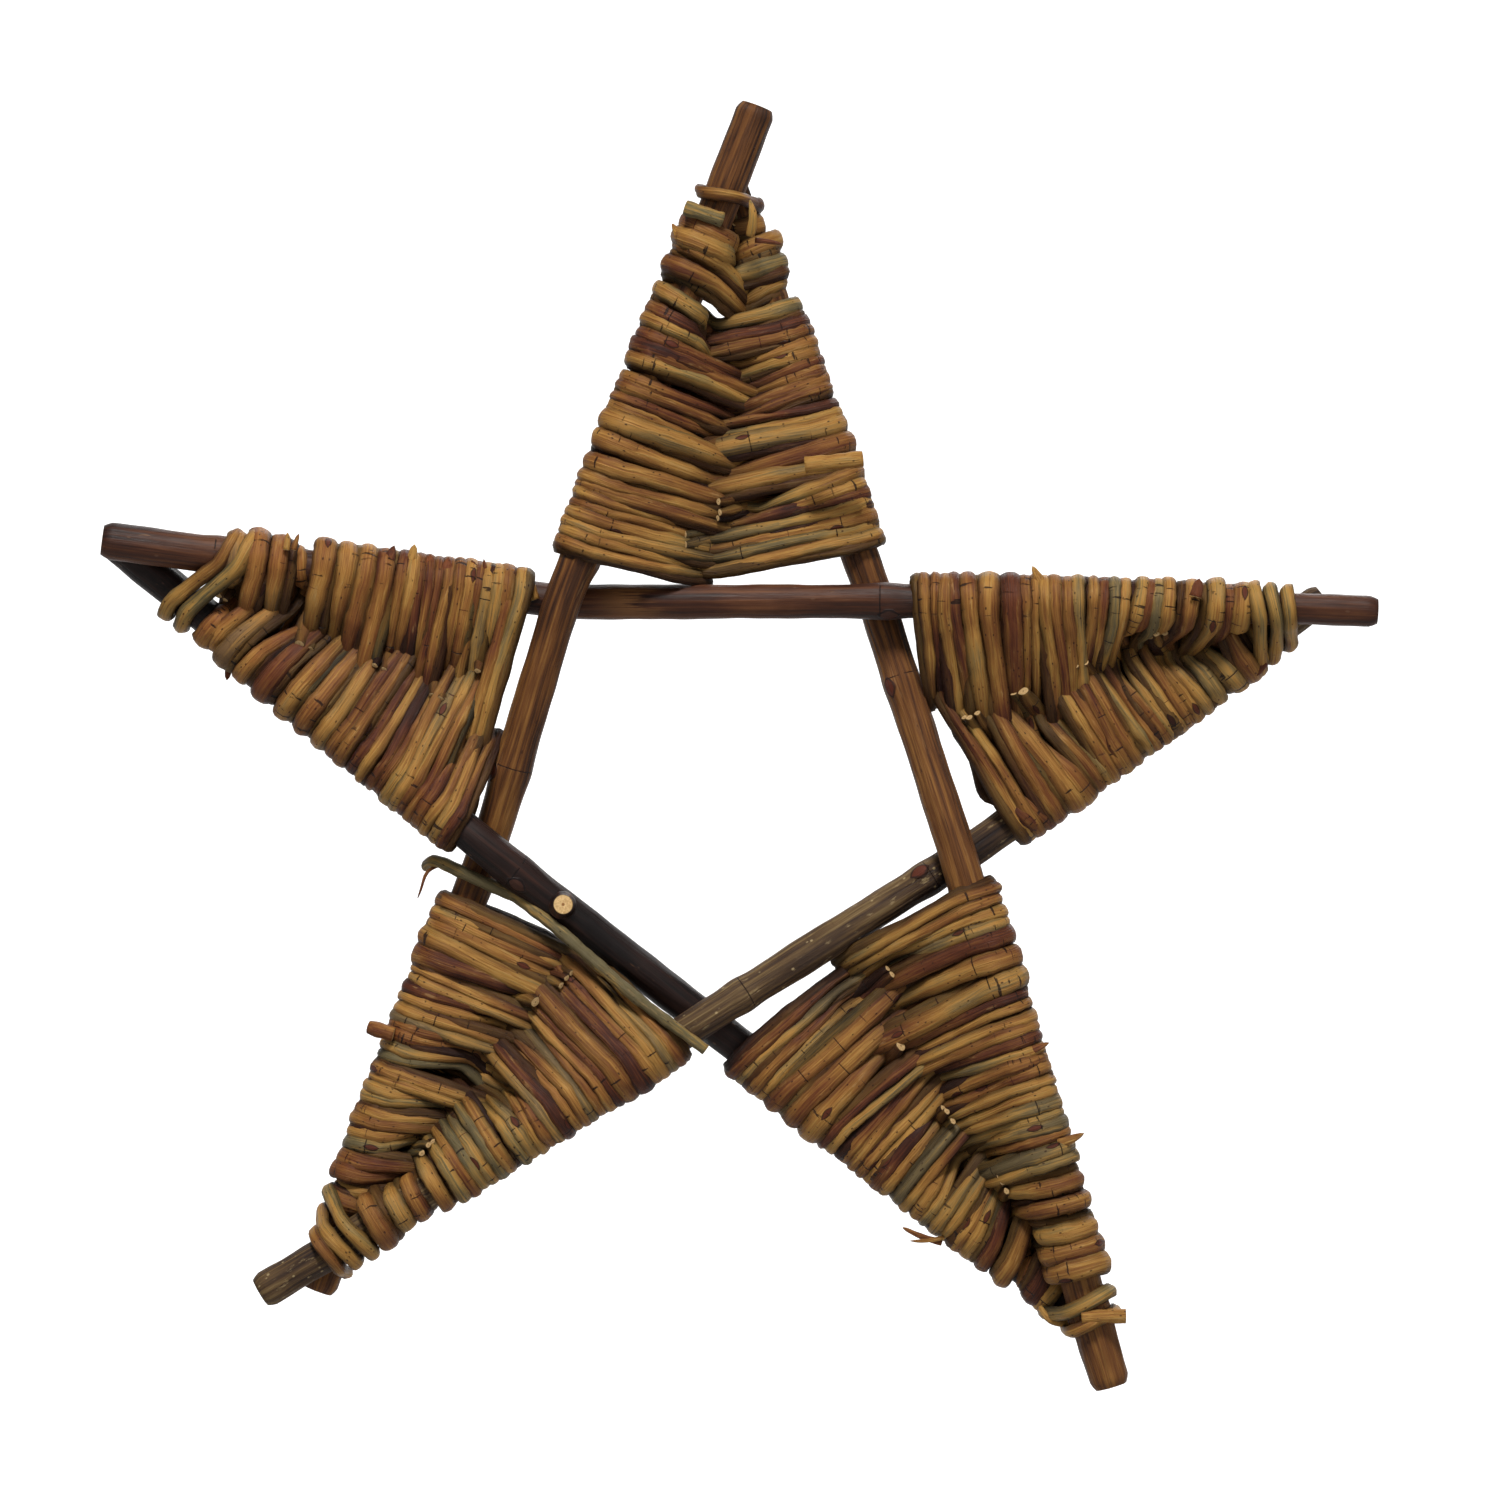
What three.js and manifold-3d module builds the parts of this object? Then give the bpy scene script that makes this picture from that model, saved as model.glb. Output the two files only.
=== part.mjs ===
// A woven willow star: five crossed willow sticks, each of the five arms
// filled with thin willow rods woven in figures of eight from stick to stick.
// Millimetres, +X to the right, +Z up, the face looks along -Y.
// The origin is on the underside of the crossbar, where a nail carries the star.

import * as THREE from 'three';
import Module from 'manifold-3d';

const wasm = await Module();
wasm.setup();

// width over the tips: every place in the tables below is drawn at tableWidth
// and scaled to starWidth, while sticks and rods keep their thickness
const starWidth = 319.2;
const tableWidth = 319.2;

// air left between any two pieces that lie on each other
const clearance = 0.35;

// sticks: radius at the start, between the two inner crossings, and at the end
const stickSides = 12;
const nailFlatLength = 16;
const nailFlatLean = 2.0;

// the cut-back branch on the dark stick
const knotRadius = 3.1;
const knotHeight = 2.2;
const knotSides = 10;
const knotAt = 0.34;

// rods of the weave
const rodWidth = 3.9;
const rodThickness = 3.1;
const rodWaistWidth = 1.7;
const rodWaistThickness = 1.5;
const shoulderAt = 0.36;
const tipPitch = 6.1;
const tieRise = 3.0;
const tieCorners = 8;
const tieSlack = 1.6;
const tieShare = 0.93;
const rodGap = 0.9;

// corners of a rod's turn round a stick: more of them beyond this many radians
const turnCorners = 4;
const longTurnCorners = 6;
const longTurn = 4.4;

// where two sticks cross, seen from the front: x, z, the front stick, the back one,
// and any more air where they swing across each other
const crossings = {
  top: [1.5, 104.6, 'stick_top_to_lower_left', 'stick_top_to_lower_right'],
  left: [-152.1, 14.7, 'crossbar', 'stick_left_to_lower_right', 0.5],
  right: [147.3, -1.9, 'crossbar', 'stick_right_to_lower_left'],
  lower_left: [-97.7, -161.9, 'stick_right_to_lower_left', 'stick_top_to_lower_left'],
  lower_right: [92.1, -179.9, 'stick_top_to_lower_right', 'stick_left_to_lower_right'],
  inner_top_left: [-40, 0, 'stick_top_to_lower_left', 'crossbar'],
  inner_top_right: [38.5, 0, 'crossbar', 'stick_top_to_lower_right'],
  inner_left: [-58.8, -61.7, 'stick_left_to_lower_right', 'stick_top_to_lower_left'],
  inner_bottom: [-5, -104.4, 'stick_right_to_lower_left', 'stick_left_to_lower_right'],
  inner_right: [59, -64.6, 'stick_top_to_lower_right', 'stick_right_to_lower_left'],
};

// each stick: its two cut ends (x, z), the crossings between them, three radii
const sticks = {
  stick_top_to_lower_left: {
    from: [8.6, 123.2],
    over: ['top', 'inner_top_left', 'inner_left', 'lower_left'],
    to: [-101.8, -172.6],
    radii: [5.1, 4.9, 4.7],
  },
  stick_top_to_lower_right: {
    from: [1.2, 105.5],
    over: ['top', 'inner_top_right', 'inner_right', 'lower_right'],
    to: [96.8, -195.7],
    radii: [4.5, 4.8, 5.2],
  },
  crossbar: {
    from: [-154.7, 15.1],
    over: ['left', 'inner_top_left', 'inner_top_right', 'right'],
    to: [163.1, -2.6],
    radii: [4.9, 4.5, 4.1],
  },
  stick_left_to_lower_right: {
    from: [-152.9, 15.5],
    over: ['left', 'inner_left', 'inner_bottom', 'lower_right'],
    to: [96.3, -183.1],
    radii: [4.8, 4.7, 4.5],
  },
  stick_right_to_lower_left: {
    from: [150.5, 1.1],
    over: ['right', 'inner_right', 'inner_bottom', 'lower_left'],
    to: [-115.2, -172.4],
    radii: [4.3, 4.5, 4.7],
  },
};

// each arm: its two sticks, anticlockwise first, with the crossing that ends each,
// how far the middle of the weave runs ahead of either edge (at the tip, at the base),
// where the first and the last row cross in the middle, how many turns each rod
// makes, and where the loose turn at the tip starts, if there is one
const arms = {
  top: {
    sides: [['stick_top_to_lower_left', 'inner_top_left'], ['stick_top_to_lower_right', 'inner_top_right']],
    lead: [[8.4, 5], [1.5, 7]],
    rows: [9.6, 97.5],
    turns: [5, 5, 3, 2, 2],
    tie: 2.0,
  },
  left: {
    sides: [['stick_left_to_lower_right', 'inner_left'], ['crossbar', 'inner_top_left']],
    lead: [[8, -2], [2, 5]],
    rows: [28, 105],
    turns: [4, 4, 3, 2, 2],
  },
  lower_left: {
    sides: [['stick_right_to_lower_left', 'inner_bottom'], ['stick_top_to_lower_left', 'inner_left']],
    lead: [[2, 2], [7.5, 7]],
    rows: [9.6, 95.5],
    turns: [4, 5, 4, 2, 2],
    tie: -2.5,
  },
  lower_right: {
    sides: [['stick_top_to_lower_right', 'inner_right'], ['stick_left_to_lower_right', 'inner_bottom']],
    lead: [[4.3, 2.2], [7.5, 2]],
    rows: [9.8, 107.5],
    turns: [5, 4, 4, 3, 2],
    tie: -1.5,
  },
  right: {
    sides: [['crossbar', 'inner_top_right'], ['stick_right_to_lower_left', 'inner_right']],
    lead: [[8, 3], [3, 7.5]],
    rows: [14, 95.5],
    turns: [4, 4, 3, 3, 2],
    tie: 5,
  },
};

const materials = {
  bark: new THREE.MeshStandardMaterial({ color: 0x6b4630, roughness: 0.75 }),
  dark_bark: new THREE.MeshStandardMaterial({ color: 0x33241f, roughness: 0.7 }),
  rod_bark: new THREE.MeshStandardMaterial({ color: 0x9a6d3c, roughness: 0.65 }),
};

// Joins rings of points into one closed skin with a flat fan at both ends.
function skin(rings) {
  const sides = rings[0].length;
  const positions = rings.flat().flatMap((p) => [p.x, p.y, p.z]);
  const index = [];
  for (let i = 0; i < rings.length - 1; i++) {
    for (let k = 0; k < sides; k++) {
      const a = i * sides + k;
      const b = i * sides + ((k + 1) % sides);
      index.push(a, b, b + sides, a, b + sides, a + sides);
    }
  }
  const last = (rings.length - 1) * sides;
  for (let k = 1; k < sides - 1; k++) {
    index.push(0, k + 1, k);
    index.push(last, last + k, last + k + 1);
  }
  const geometry = new THREE.BufferGeometry();
  geometry.setAttribute('position', new THREE.Float32BufferAttribute(positions, 3));
  geometry.setIndex(index);
  return geometry;
}

// The radius of a stick at one of its crossings or ends.
function stickRadius(name, place) {
  const { over, radii } = sticks[name];
  const at = over.indexOf(place);
  if (at === 1 || at === 2) return radii[1];
  return at === 0 ? radii[0] : radii[2];
}

// The middle of a stick at a crossing: pushed to the front or to the back
// so that the two sticks lie on each other.
function stickPoint(name, place) {
  const [x, z, front, back, more = 0] = crossings[place];
  const apart = stickRadius(front, place) + stickRadius(back, place) + clearance + more;
  return new THREE.Vector3(x, (name === front ? -apart : apart) / 2, z);
}

// One ring of a stick, square to its run, with a flat turned straight down
// wherever the stick runs level.
function stickRing(centre, along, radius) {
  const up = along.clone().cross(new THREE.Vector3(0, 1, 0)).normalize();
  const out = up.clone().cross(along).normalize();
  const ring = [];
  for (let k = 0; k < stickSides; k++) {
    const angle = ((k + 0.5) / stickSides) * Math.PI * 2;
    const p = centre.clone();
    p.addScaledVector(up, Math.cos(angle) * radius);
    p.addScaledVector(out, -Math.sin(angle) * radius);
    ring.push(p);
  }
  return ring;
}

function stickStations(name) {
  const { from, over, to, radii } = sticks[name];
  const middle = over.map((place) => stickPoint(name, place));
  const first = new THREE.Vector3(from[0], middle[0].y, from[1]);
  // on the way from a crossing right at the end, the lift keeps its slope
  const spare = first.distanceTo(middle[0]) / middle[1].distanceTo(middle[0]);
  if (spare < radii[0] / middle[1].distanceTo(middle[0])) first.y += (middle[0].y - middle[1].y) * spare;
  const last = new THREE.Vector3(to[0], middle[3].y, to[1]);
  const stations = [
    { p: first, r: radii[0] },
    { p: middle[0], r: radii[0] },
    { p: middle[1], r: radii[1] },
    { p: middle[2], r: radii[1] },
    { p: middle[3], r: radii[2] },
    { p: last, r: radii[2] },
  ];
  if (name === 'crossbar') {
    const half = nailFlatLength / 2;
    const lean = nailFlatLean / 2;
    const left = { p: new THREE.Vector3(-half, lean, nailDrop), r: radii[1], flat: 1 };
    const right = { p: new THREE.Vector3(half, -lean, nailDrop), r: radii[1], flat: -1 };
    stations.splice(3, 0, left, right);
  }
  // a stick cut off at its crossing has no length beyond it
  return stations.filter((_, i) => i !== 1 || first.distanceTo(middle[0]) > radii[0]);
}

function stickGeometry(name, stations) {
  const rings = stations.map(({ p, r, flat }, i) => {
    // both ends of the nail flat stand square to it, so the flat is true
    const before = stations[flat === 1 ? i : Math.max(i - 1, 0)].p;
    const after = stations[flat === -1 ? i : Math.min(i + 1, stations.length - 1)].p;
    return stickRing(p, after.clone().sub(before).normalize(), r);
  });
  return skin(rings);
}

// three.js geometry to a solid and back
function toSolid(geometry) {
  const mesh = new wasm.Mesh({
    numProp: 3,
    vertProperties: new Float32Array(geometry.attributes.position.array),
    triVerts: new Uint32Array(geometry.index.array),
  });
  mesh.merge();
  return new wasm.Manifold(mesh);
}

function toGeometry(solid) {
  const mesh = solid.getMesh();
  const geometry = new THREE.BufferGeometry();
  geometry.setAttribute('position', new THREE.Float32BufferAttribute(mesh.vertProperties, 3));
  geometry.setIndex(Array.from(mesh.triVerts));
  return geometry;
}

const star = new THREE.Group();
star.name = 'woven_willow_star';

function add(name, geometry, material) {
  const mesh = new THREE.Mesh(geometry, material);
  mesh.name = name;
  star.add(mesh);
}

// height of the crossbar's middle over the flat that the nail bears on
const nailDrop = sticks.crossbar.radii[1] * Math.cos(Math.PI / stickSides);
// the tables scaled to the star's width and lifted off the nail
const spread = starWidth / tableWidth;
for (const place of [...Object.values(crossings), ...Object.values(sticks).flatMap((s) => [s.from, s.to])]) {
  place[0] *= spread;
  place[1] = place[1] * spread + nailDrop;
}
for (const arm of Object.values(arms)) {
  arm.rows = arm.rows.map((s) => s * spread);
  arm.lead = arm.lead.map((pair) => pair.map((s) => s * spread));
  if (arm.tie !== undefined) arm.tie *= spread;
}

for (const name of Object.keys(sticks)) {
  const stations = stickStations(name);
  if (name === 'stick_left_to_lower_right') {
    const [above, below] = ['inner_left', 'inner_bottom'].map((place) => stickPoint(name, place));
    const foot = above.lerp(below, knotAt);
    const height = sticks[name].radii[1] + knotHeight;
    const knot = new THREE.CylinderGeometry(knotRadius, knotRadius, height, knotSides);
    knot.deleteAttribute('normal');
    knot.deleteAttribute('uv');
    knot.translate(0, -height / 2, 0);
    knot.translate(foot.x, foot.y, foot.z);
    const solid = toSolid(stickGeometry(name, stations)).add(toSolid(knot));
    add(name, toGeometry(solid), materials.dark_bark);
  } else {
    add(name, stickGeometry(name, stations), name === 'crossbar' ? materials.dark_bark : materials.bark);
  }
}

// The straight run of a stick along one arm, from the crossing at the tip
// to the inner crossing, as the arm's own axis measures it.
function armFrame(arm, tip) {
  const runs = arm.sides.map(([name, inner]) => {
    const start = stickPoint(name, tip);
    const end = stickPoint(name, inner);
    return { name, start, end, r0: stickRadius(name, tip), r1: stickRadius(name, inner) };
  });
  const flat = (v) => new THREE.Vector3(v.x, 0, v.z).normalize();
  const dirs = runs.map((run) => flat(run.end.clone().sub(run.start)));
  const axis = dirs[0].clone().add(dirs[1]).normalize();
  const origin = new THREE.Vector3(crossings[tip][0], 0, crossings[tip][1]);
  const at = (side, s) => {
    const { start, end, r0, r1 } = runs[side];
    const t = s / end.clone().sub(origin).dot(axis);
    return { p: start.clone().lerp(end, t), r: r0 + (r1 - r0) * t };
  };
  const along = (side) => runs[side].end.clone().sub(runs[side].start).normalize();
  return { axis, at, along };
}

// Rings of a rod with a four-cornered section, from its path: every knot of the
// path has a point, half a width along the arm and half a thickness across it,
// and round a stick the run of that stick, to lie flat on it.
function rodRings(path, axis) {
  return path.map(({ p, w, t, run: beside = axis }, i) => {
    const back = path[Math.max(i - 1, 0)].p;
    const ahead = path[Math.min(i + 1, path.length - 1)].p;
    const into = p.clone().sub(back).normalize();
    const outof = ahead.clone().sub(p).normalize();
    if (i === 0) into.copy(outof);
    if (i === path.length - 1) outof.copy(into);
    const run = into.clone().add(outof).normalize();
    const wide = beside.clone().addScaledVector(run, -beside.dot(run)).normalize();
    const deep = run.clone().cross(wide);
    const mitre = 1 / Math.max(into.dot(run), 0.7);
    const corner = (a, b) => {
      const q = p.clone().addScaledVector(wide, a * w);
      return q.addScaledVector(deep, b * t * mitre);
    };
    return [corner(1, 1), corner(-1, 1), corner(-1, -1), corner(1, -1)];
  });
}

// The whole weave of one arm as one path with a waist at each crossing.
function weavePath(arm, frame) {
  const turns = arm.turns.reduce((sum, n) => sum + n, 0);
  const basePitch = (2 * (arm.rows[1] - arm.rows[0])) / turns - tipPitch;
  const pitch = (c) => tipPitch + ((basePitch - tipPitch) * c) / turns;
  const row = (c) => arm.rows[0] + tipPitch * c + ((basePitch - tipPitch) * c * c) / (2 * turns);
  const middle = (c) => frame.at(0, row(c)).p.add(frame.at(1, row(c)).p).multiplyScalar(0.5);
  const air = (s) => {
    const a = frame.at(0, s);
    const b = frame.at(1, s);
    return (a.p.distanceTo(b.p) - a.r - b.r) / 2 - clearance;
  };
  const waist = (c) => {
    const t = Math.min(rodWaistThickness / 2, air(row(c)));
    return { p: middle(c), w: Math.min(rodWaistWidth, pitch(c) / 2 - clearance) / 2, t, waist: true };
  };
  const path = [waist(0)];
  for (let j = 0; j < turns * 2; j++) {
    const side = j % 2 === 0 ? 1 : 0;
    const c = j / 2 + 0.25;
    const share = j / (turns * 2);
    const lead = (arm.lead[side][0] * (1 - share) + arm.lead[side][1] * share) * Math.min(1, j / 5);
    const s = Math.max(row(c) - lead, arm.rows[0]);
    const stick = frame.at(side, s);
    const thick = Math.min(rodThickness / 2, air(s), air(row(j / 2)));
    const reach = stick.r + clearance + thick;
    const run = frame.along(side);
    const inTo = middle(j / 2).sub(stick.p);
    const outTo = middle((j + 1) / 2).sub(stick.p);
    for (const v of [inTo, outTo]) v.addScaledVector(run, -v.dot(run));
    const outward = inTo.clone().normalize().add(outTo.clone().normalize()).normalize().negate();
    const backward = run.clone().cross(outward).normalize();
    if (backward.y < 0) backward.negate();
    const angleOf = (v) => Math.atan2(v.dot(backward), v.dot(outward));
    const tangent = (v) => Math.acos(Math.min(0.995, reach / v.length()));
    let start = angleOf(inTo);
    let end = angleOf(outTo);
    if (start < 0) start += Math.PI * 2;
    if (end > 0) end -= Math.PI * 2;
    start -= tangent(inTo);
    end += tangent(outTo);
    const corners = start - end > longTurn ? longTurnCorners : turnCorners;
    const step = (start - end) / corners;
    const slope = Math.cos(Math.atan2(lead, outTo.length()));
    const w = Math.min(rodWidth, (pitch(c) - clearance) * slope) / 2;
    for (let k = 0; k < corners; k++) {
      const angle = start - (k + 0.5) * step;
      const radius = reach / Math.cos(step / 2);
      const p = stick.p.clone();
      p.addScaledVector(outward, Math.cos(angle) * radius);
      p.addScaledVector(backward, Math.sin(angle) * radius);
      path.push({ p, w, t: thick, run });
    }
    const next = waist((j + 1) / 2);
    const shoulder = next.p.clone().lerp(path[path.length - 1].p, shoulderAt);
    path.push({ p: shoulder, w, t: thick }, next);
  }
  return path;
}

// One turn laid round both sticks at the tip, before the weave starts; its two
// ends come close to each other at the back.
function tiePath(frame, tieStart) {
  const path = [];
  const outward = frame.at(1, 20).p.sub(frame.at(0, 20).p);
  outward.y = 0;
  outward.normalize();
  for (let k = 0; k <= tieCorners; k++) {
    const angle = (k / tieCorners) * Math.PI * 2 * tieShare + Math.PI / 2;
    const s = tieStart + (tieRise * k) / tieCorners;
    const away = outward.clone().multiplyScalar(Math.cos(angle));
    away.y = Math.sin(angle);
    const ends = [frame.at(0, s), frame.at(1, s)];
    const best = ends[0].p.dot(away) + ends[0].r > ends[1].p.dot(away) + ends[1].r ? ends[0] : ends[1];
    const snug = best.r + tieSlack + clearance + rodThickness / 2;
    const reach = snug / Math.cos((Math.PI * tieShare) / tieCorners);
    path.push({ p: best.p.clone().addScaledVector(away, reach), w: rodWidth / 2, t: rodThickness / 2 });
  }
  return path;
}

for (const [tip, arm] of Object.entries(arms)) {
  const frame = armFrame(arm, tip);
  if (arm.tie !== undefined) {
    const tie = rodRings(tiePath(frame, arm.tie), frame.axis);
    add(`tie_${tip}`, skin(tie), materials.rod_bark);
  }
  const path = weavePath(arm, frame);
  const waists = path.map((knot, i) => (knot.waist ? i : -1)).filter((i) => i >= 0);
  let row = 0;
  arm.turns.forEach((turns, n) => {
    const first = waists[row];
    const last = waists[row + turns * 2];
    const piece = path.slice(first, last + 1).map((knot) => ({ ...knot, p: knot.p.clone() }));
    const shorten = (end, beside) => {
      const inward = beside.p.clone().sub(end.p).normalize();
      end.p.addScaledVector(inward, rodGap / 2);
    };
    shorten(piece[0], piece[1]);
    shorten(piece[piece.length - 1], piece[piece.length - 2]);
    add(`rod_${tip}_${n + 1}`, skin(rodRings(piece, frame.axis)), materials.rod_bark);
    row += turns * 2;
  });
}

export default star;
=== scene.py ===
import math
import bpy
import numpy as np
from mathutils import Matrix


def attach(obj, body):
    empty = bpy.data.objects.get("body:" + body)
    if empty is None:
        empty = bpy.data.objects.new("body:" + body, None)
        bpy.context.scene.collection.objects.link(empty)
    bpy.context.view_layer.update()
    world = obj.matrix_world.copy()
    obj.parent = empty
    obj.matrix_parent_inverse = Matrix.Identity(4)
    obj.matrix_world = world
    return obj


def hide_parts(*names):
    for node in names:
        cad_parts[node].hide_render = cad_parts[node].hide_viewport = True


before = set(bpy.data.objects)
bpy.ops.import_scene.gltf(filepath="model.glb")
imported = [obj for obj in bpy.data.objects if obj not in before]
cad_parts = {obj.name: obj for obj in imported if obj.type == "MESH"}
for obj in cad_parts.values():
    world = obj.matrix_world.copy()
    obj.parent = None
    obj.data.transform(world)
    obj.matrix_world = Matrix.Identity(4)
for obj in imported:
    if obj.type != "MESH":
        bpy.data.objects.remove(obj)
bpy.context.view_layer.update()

scene = bpy.context.scene
millimetre = 0.001
fullTurn = 2 * math.pi


# small tools
def unit(v):
    # v divided by its length, for every row
    return v / np.maximum(np.linalg.norm(v, axis=-1, keepdims=True), 1e-9)


def dot(a, b):
    # sum of a times b along the last axis, kept as a column
    return np.sum(a * b, axis=-1, keepdims=True)


def bell(x, width):
    # exp(-(x / width) squared): 1 at x = 0, falling off on both sides
    return np.exp(-(x / width) ** 2)


def wander(x, rng, wavelengths, amounts):
    # sum over the wavelengths of amount * sin(turn * x / wavelength + a random start)
    total = np.zeros_like(x)
    for wavelength, amount in zip(wavelengths, amounts):
        total = total + amount * np.sin(fullTurn * x / wavelength + rng.uniform(0, fullTurn))
    return total


def pathLength(p):
    # running sum of the distances between neighbouring points
    return np.concatenate([[0.0], np.cumsum(np.linalg.norm(np.diff(p, axis=0), axis=1))])


def evenSteps(p, step, *others, least=4):
    # the same path with points one step apart, the other columns carried along
    s = pathLength(p)
    t = np.linspace(0, s[-1], max(int(round(s[-1] / step)), least) + 1)
    carry = [np.stack([np.interp(t, s, c) for c in q.T], axis=1) for q in (p,) + others]
    return [t] + carry


def softened(p, sigma, widths=3):
    # each point becomes the bell-weighted mean of its neighbours; ends run on straight
    reach = int(math.ceil(sigma * widths))
    weights = np.exp(-0.5 * (np.arange(-reach, reach + 1) / sigma) ** 2)
    weights = weights / weights.sum()
    before = p[0] + (p[0] - p[1]) * np.arange(reach, 0, -1)[:, None]
    after = p[-1] + (p[-1] - p[-2]) * np.arange(1, reach + 1)[:, None]
    longer = np.concatenate([before, p, after])
    return np.stack([np.convolve(c, weights, mode="valid") for c in longer.T], axis=1)


def frameAlong(p, beside):
    # run = direction of the path; wide = beside made square to it; deep = run x wide
    run = unit(np.gradient(p, axis=0))
    wide = unit(beside - run * dot(beside, run))
    return run, wide, np.cross(run, wide)


def colour(red, green, blue):
    # screen colour 0..255 to linear light, with full cover
    c = np.array([red, green, blue]) / 255.0
    c = np.where(c <= 0.04045, c / 12.92, ((c + 0.055) / 1.055) ** 2.4)
    return (float(c[0]), float(c[1]), float(c[2]), 1.0)


def roundAngles(sides):
    # as many angles as there are sides, evenly round a turn
    return np.arange(sides) / sides * fullTurn


def gridQuads(rows, sides):
    # the four corners of every cell of a grid (row, round) that closes on itself
    row, k = np.meshgrid(np.arange(rows - 1), np.arange(sides), indexing="ij")
    nextK = (k + 1) % sides
    quads = np.stack([row * sides + k, row * sides + nextK,
                      (row + 1) * sides + nextK, (row + 1) * sides + k], axis=-1)
    return quads.reshape(-1, 4)


def newMesh(name, grid, faces):
    # a smooth mesh of the grid's points and these faces
    mesh = bpy.data.meshes.new(name)
    mesh.from_pydata(grid.reshape(-1, 3).tolist(), [], faces)
    mesh.polygons.foreach_set("use_smooth", np.ones(len(faces), dtype=bool))
    return mesh


def makePiece(name, grid, facts, bark, nodes=()):
    # a skin over a grid of points (row, round), closed by one face at either end
    rows, sides = grid.shape[:2]
    faces = gridQuads(rows, sides).tolist()
    faces.append(list(range(sides - 1, -1, -1)))
    faces.append(list(range((rows - 1) * sides, rows * sides)))
    mesh = newMesh(name, grid * millimetre, faces)
    for factName, values in facts.items():
        flat = np.broadcast_to(values, grid.shape[:2] + (3,)).reshape(-1)
        layer = mesh.attributes.new(factName, "FLOAT_VECTOR", "POINT")
        layer.data.foreach_set("vector", np.ascontiguousarray(flat, dtype=np.float32))
    mesh.materials.append(barks[bark])
    mesh.update()
    piece = bpy.data.objects.new(name, mesh)
    scene.collection.objects.link(piece)
    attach(piece, "root")
    if nodes:
        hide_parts(*nodes)


# bark finishes
def newMaterial(name):
    # an empty material, its node tree and the one skin that it shows
    material = bpy.data.materials.new(name)
    material.use_nodes = True
    tree = material.node_tree
    tree.nodes.clear()
    out = tree.nodes.new("ShaderNodeOutputMaterial")
    skin = tree.nodes.new("ShaderNodeBsdfPrincipled")
    tree.links.new(skin.outputs["BSDF"], out.inputs["Surface"])
    return material, tree, skin


def feed(tree, socket, value):
    # a link where the value is a socket, otherwise a plain number or a screen colour
    if isinstance(value, bpy.types.NodeSocket):
        tree.links.new(value, socket)
    else:
        socket.default_value = colour(*value) if isinstance(value, tuple) else value


def sums(tree, operation, a, b=0.0, clamp=False):
    # the operation's result for a and b, held between 0 and 1 where clamp is set
    node = tree.nodes.new("ShaderNodeMath")
    node.operation = operation
    node.use_clamp = clamp
    feed(tree, node.inputs[0], a)
    feed(tree, node.inputs[1], b)
    return node.outputs[0]


def times(tree, a, b):
    # a * b
    return sums(tree, "MULTIPLY", a, b)


def plus(tree, a, b, clamp=False):
    # a + b
    return sums(tree, "ADD", a, b, clamp)


def centred(tree, value, amount):
    # (value - 0.5) * amount
    return times(tree, sums(tree, "SUBTRACT", value, 0.5), amount)


def step(tree, value, low, high):
    # 0 below low, 1 above high, smooth between; low may be the greater one
    node = tree.nodes.new("ShaderNodeMapRange")
    node.interpolation_type = "SMOOTHSTEP"
    feed(tree, node.inputs["Value"], value)
    node.inputs["From Min"].default_value = low
    node.inputs["From Max"].default_value = high
    return node.outputs["Result"]


def blend(tree, share, a, b):
    # colour a where share is 0, colour b where it is 1
    node = tree.nodes.new("ShaderNodeMix")
    node.data_type = "RGBA"
    feed(tree, node.inputs["Factor"], share)
    feed(tree, node.inputs["A"], a)
    feed(tree, node.inputs["B"], b)
    return node.outputs["Result"]


def stain(tree, tint, mask, share, other):
    # the tint, turned to the other colour by mask * share
    return blend(tree, times(tree, mask, share), tint, other)


def fact(tree, name):
    # the three numbers that the mesh carries under this name
    node = tree.nodes.new("ShaderNodeAttribute")
    node.attribute_name = name
    parts = tree.nodes.new("ShaderNodeSeparateXYZ")
    tree.links.new(node.outputs["Vector"], parts.inputs["Vector"])
    return node.outputs["Vector"], parts.outputs["X"], parts.outputs["Y"], parts.outputs["Z"]


def grain(tree, where, scale, detail=4.0, rough=0.55):
    # noise stretched by its scale along and round the stick
    place = tree.nodes.new("ShaderNodeMapping")
    tree.links.new(where, place.inputs["Vector"])
    place.inputs["Scale"].default_value = scale
    node = tree.nodes.new("ShaderNodeTexNoise")
    tree.links.new(place.outputs["Vector"], node.inputs["Vector"])
    node.inputs["Scale"].default_value = 1.0
    node.inputs["Detail"].default_value = detail
    node.inputs["Roughness"].default_value = rough
    return node.outputs["Fac"]


def specks(tree, where, scale, size, core=0.45):
    # 1 at scattered points, 0 beyond the given share of a cell from them
    place = tree.nodes.new("ShaderNodeMapping")
    tree.links.new(where, place.inputs["Vector"])
    place.inputs["Scale"].default_value = scale
    node = tree.nodes.new("ShaderNodeTexVoronoi")
    tree.links.new(place.outputs["Vector"], node.inputs["Vector"])
    node.inputs["Scale"].default_value = 1.0
    return step(tree, node.outputs["Distance"], size, size * core)


def ramp(tree, value, stops):
    # the colour at value, blended between the stops (place, colour)
    node = tree.nodes.new("ShaderNodeValToRGB")
    feed(tree, node.inputs["Fac"], value)
    elements = node.color_ramp.elements
    while len(elements) < len(stops):
        elements.new(0.5)
    for element, (place, tint) in zip(elements, stops):
        element.position = place
        element.color = colour(*tint)
    return node.outputs["Color"]


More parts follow.
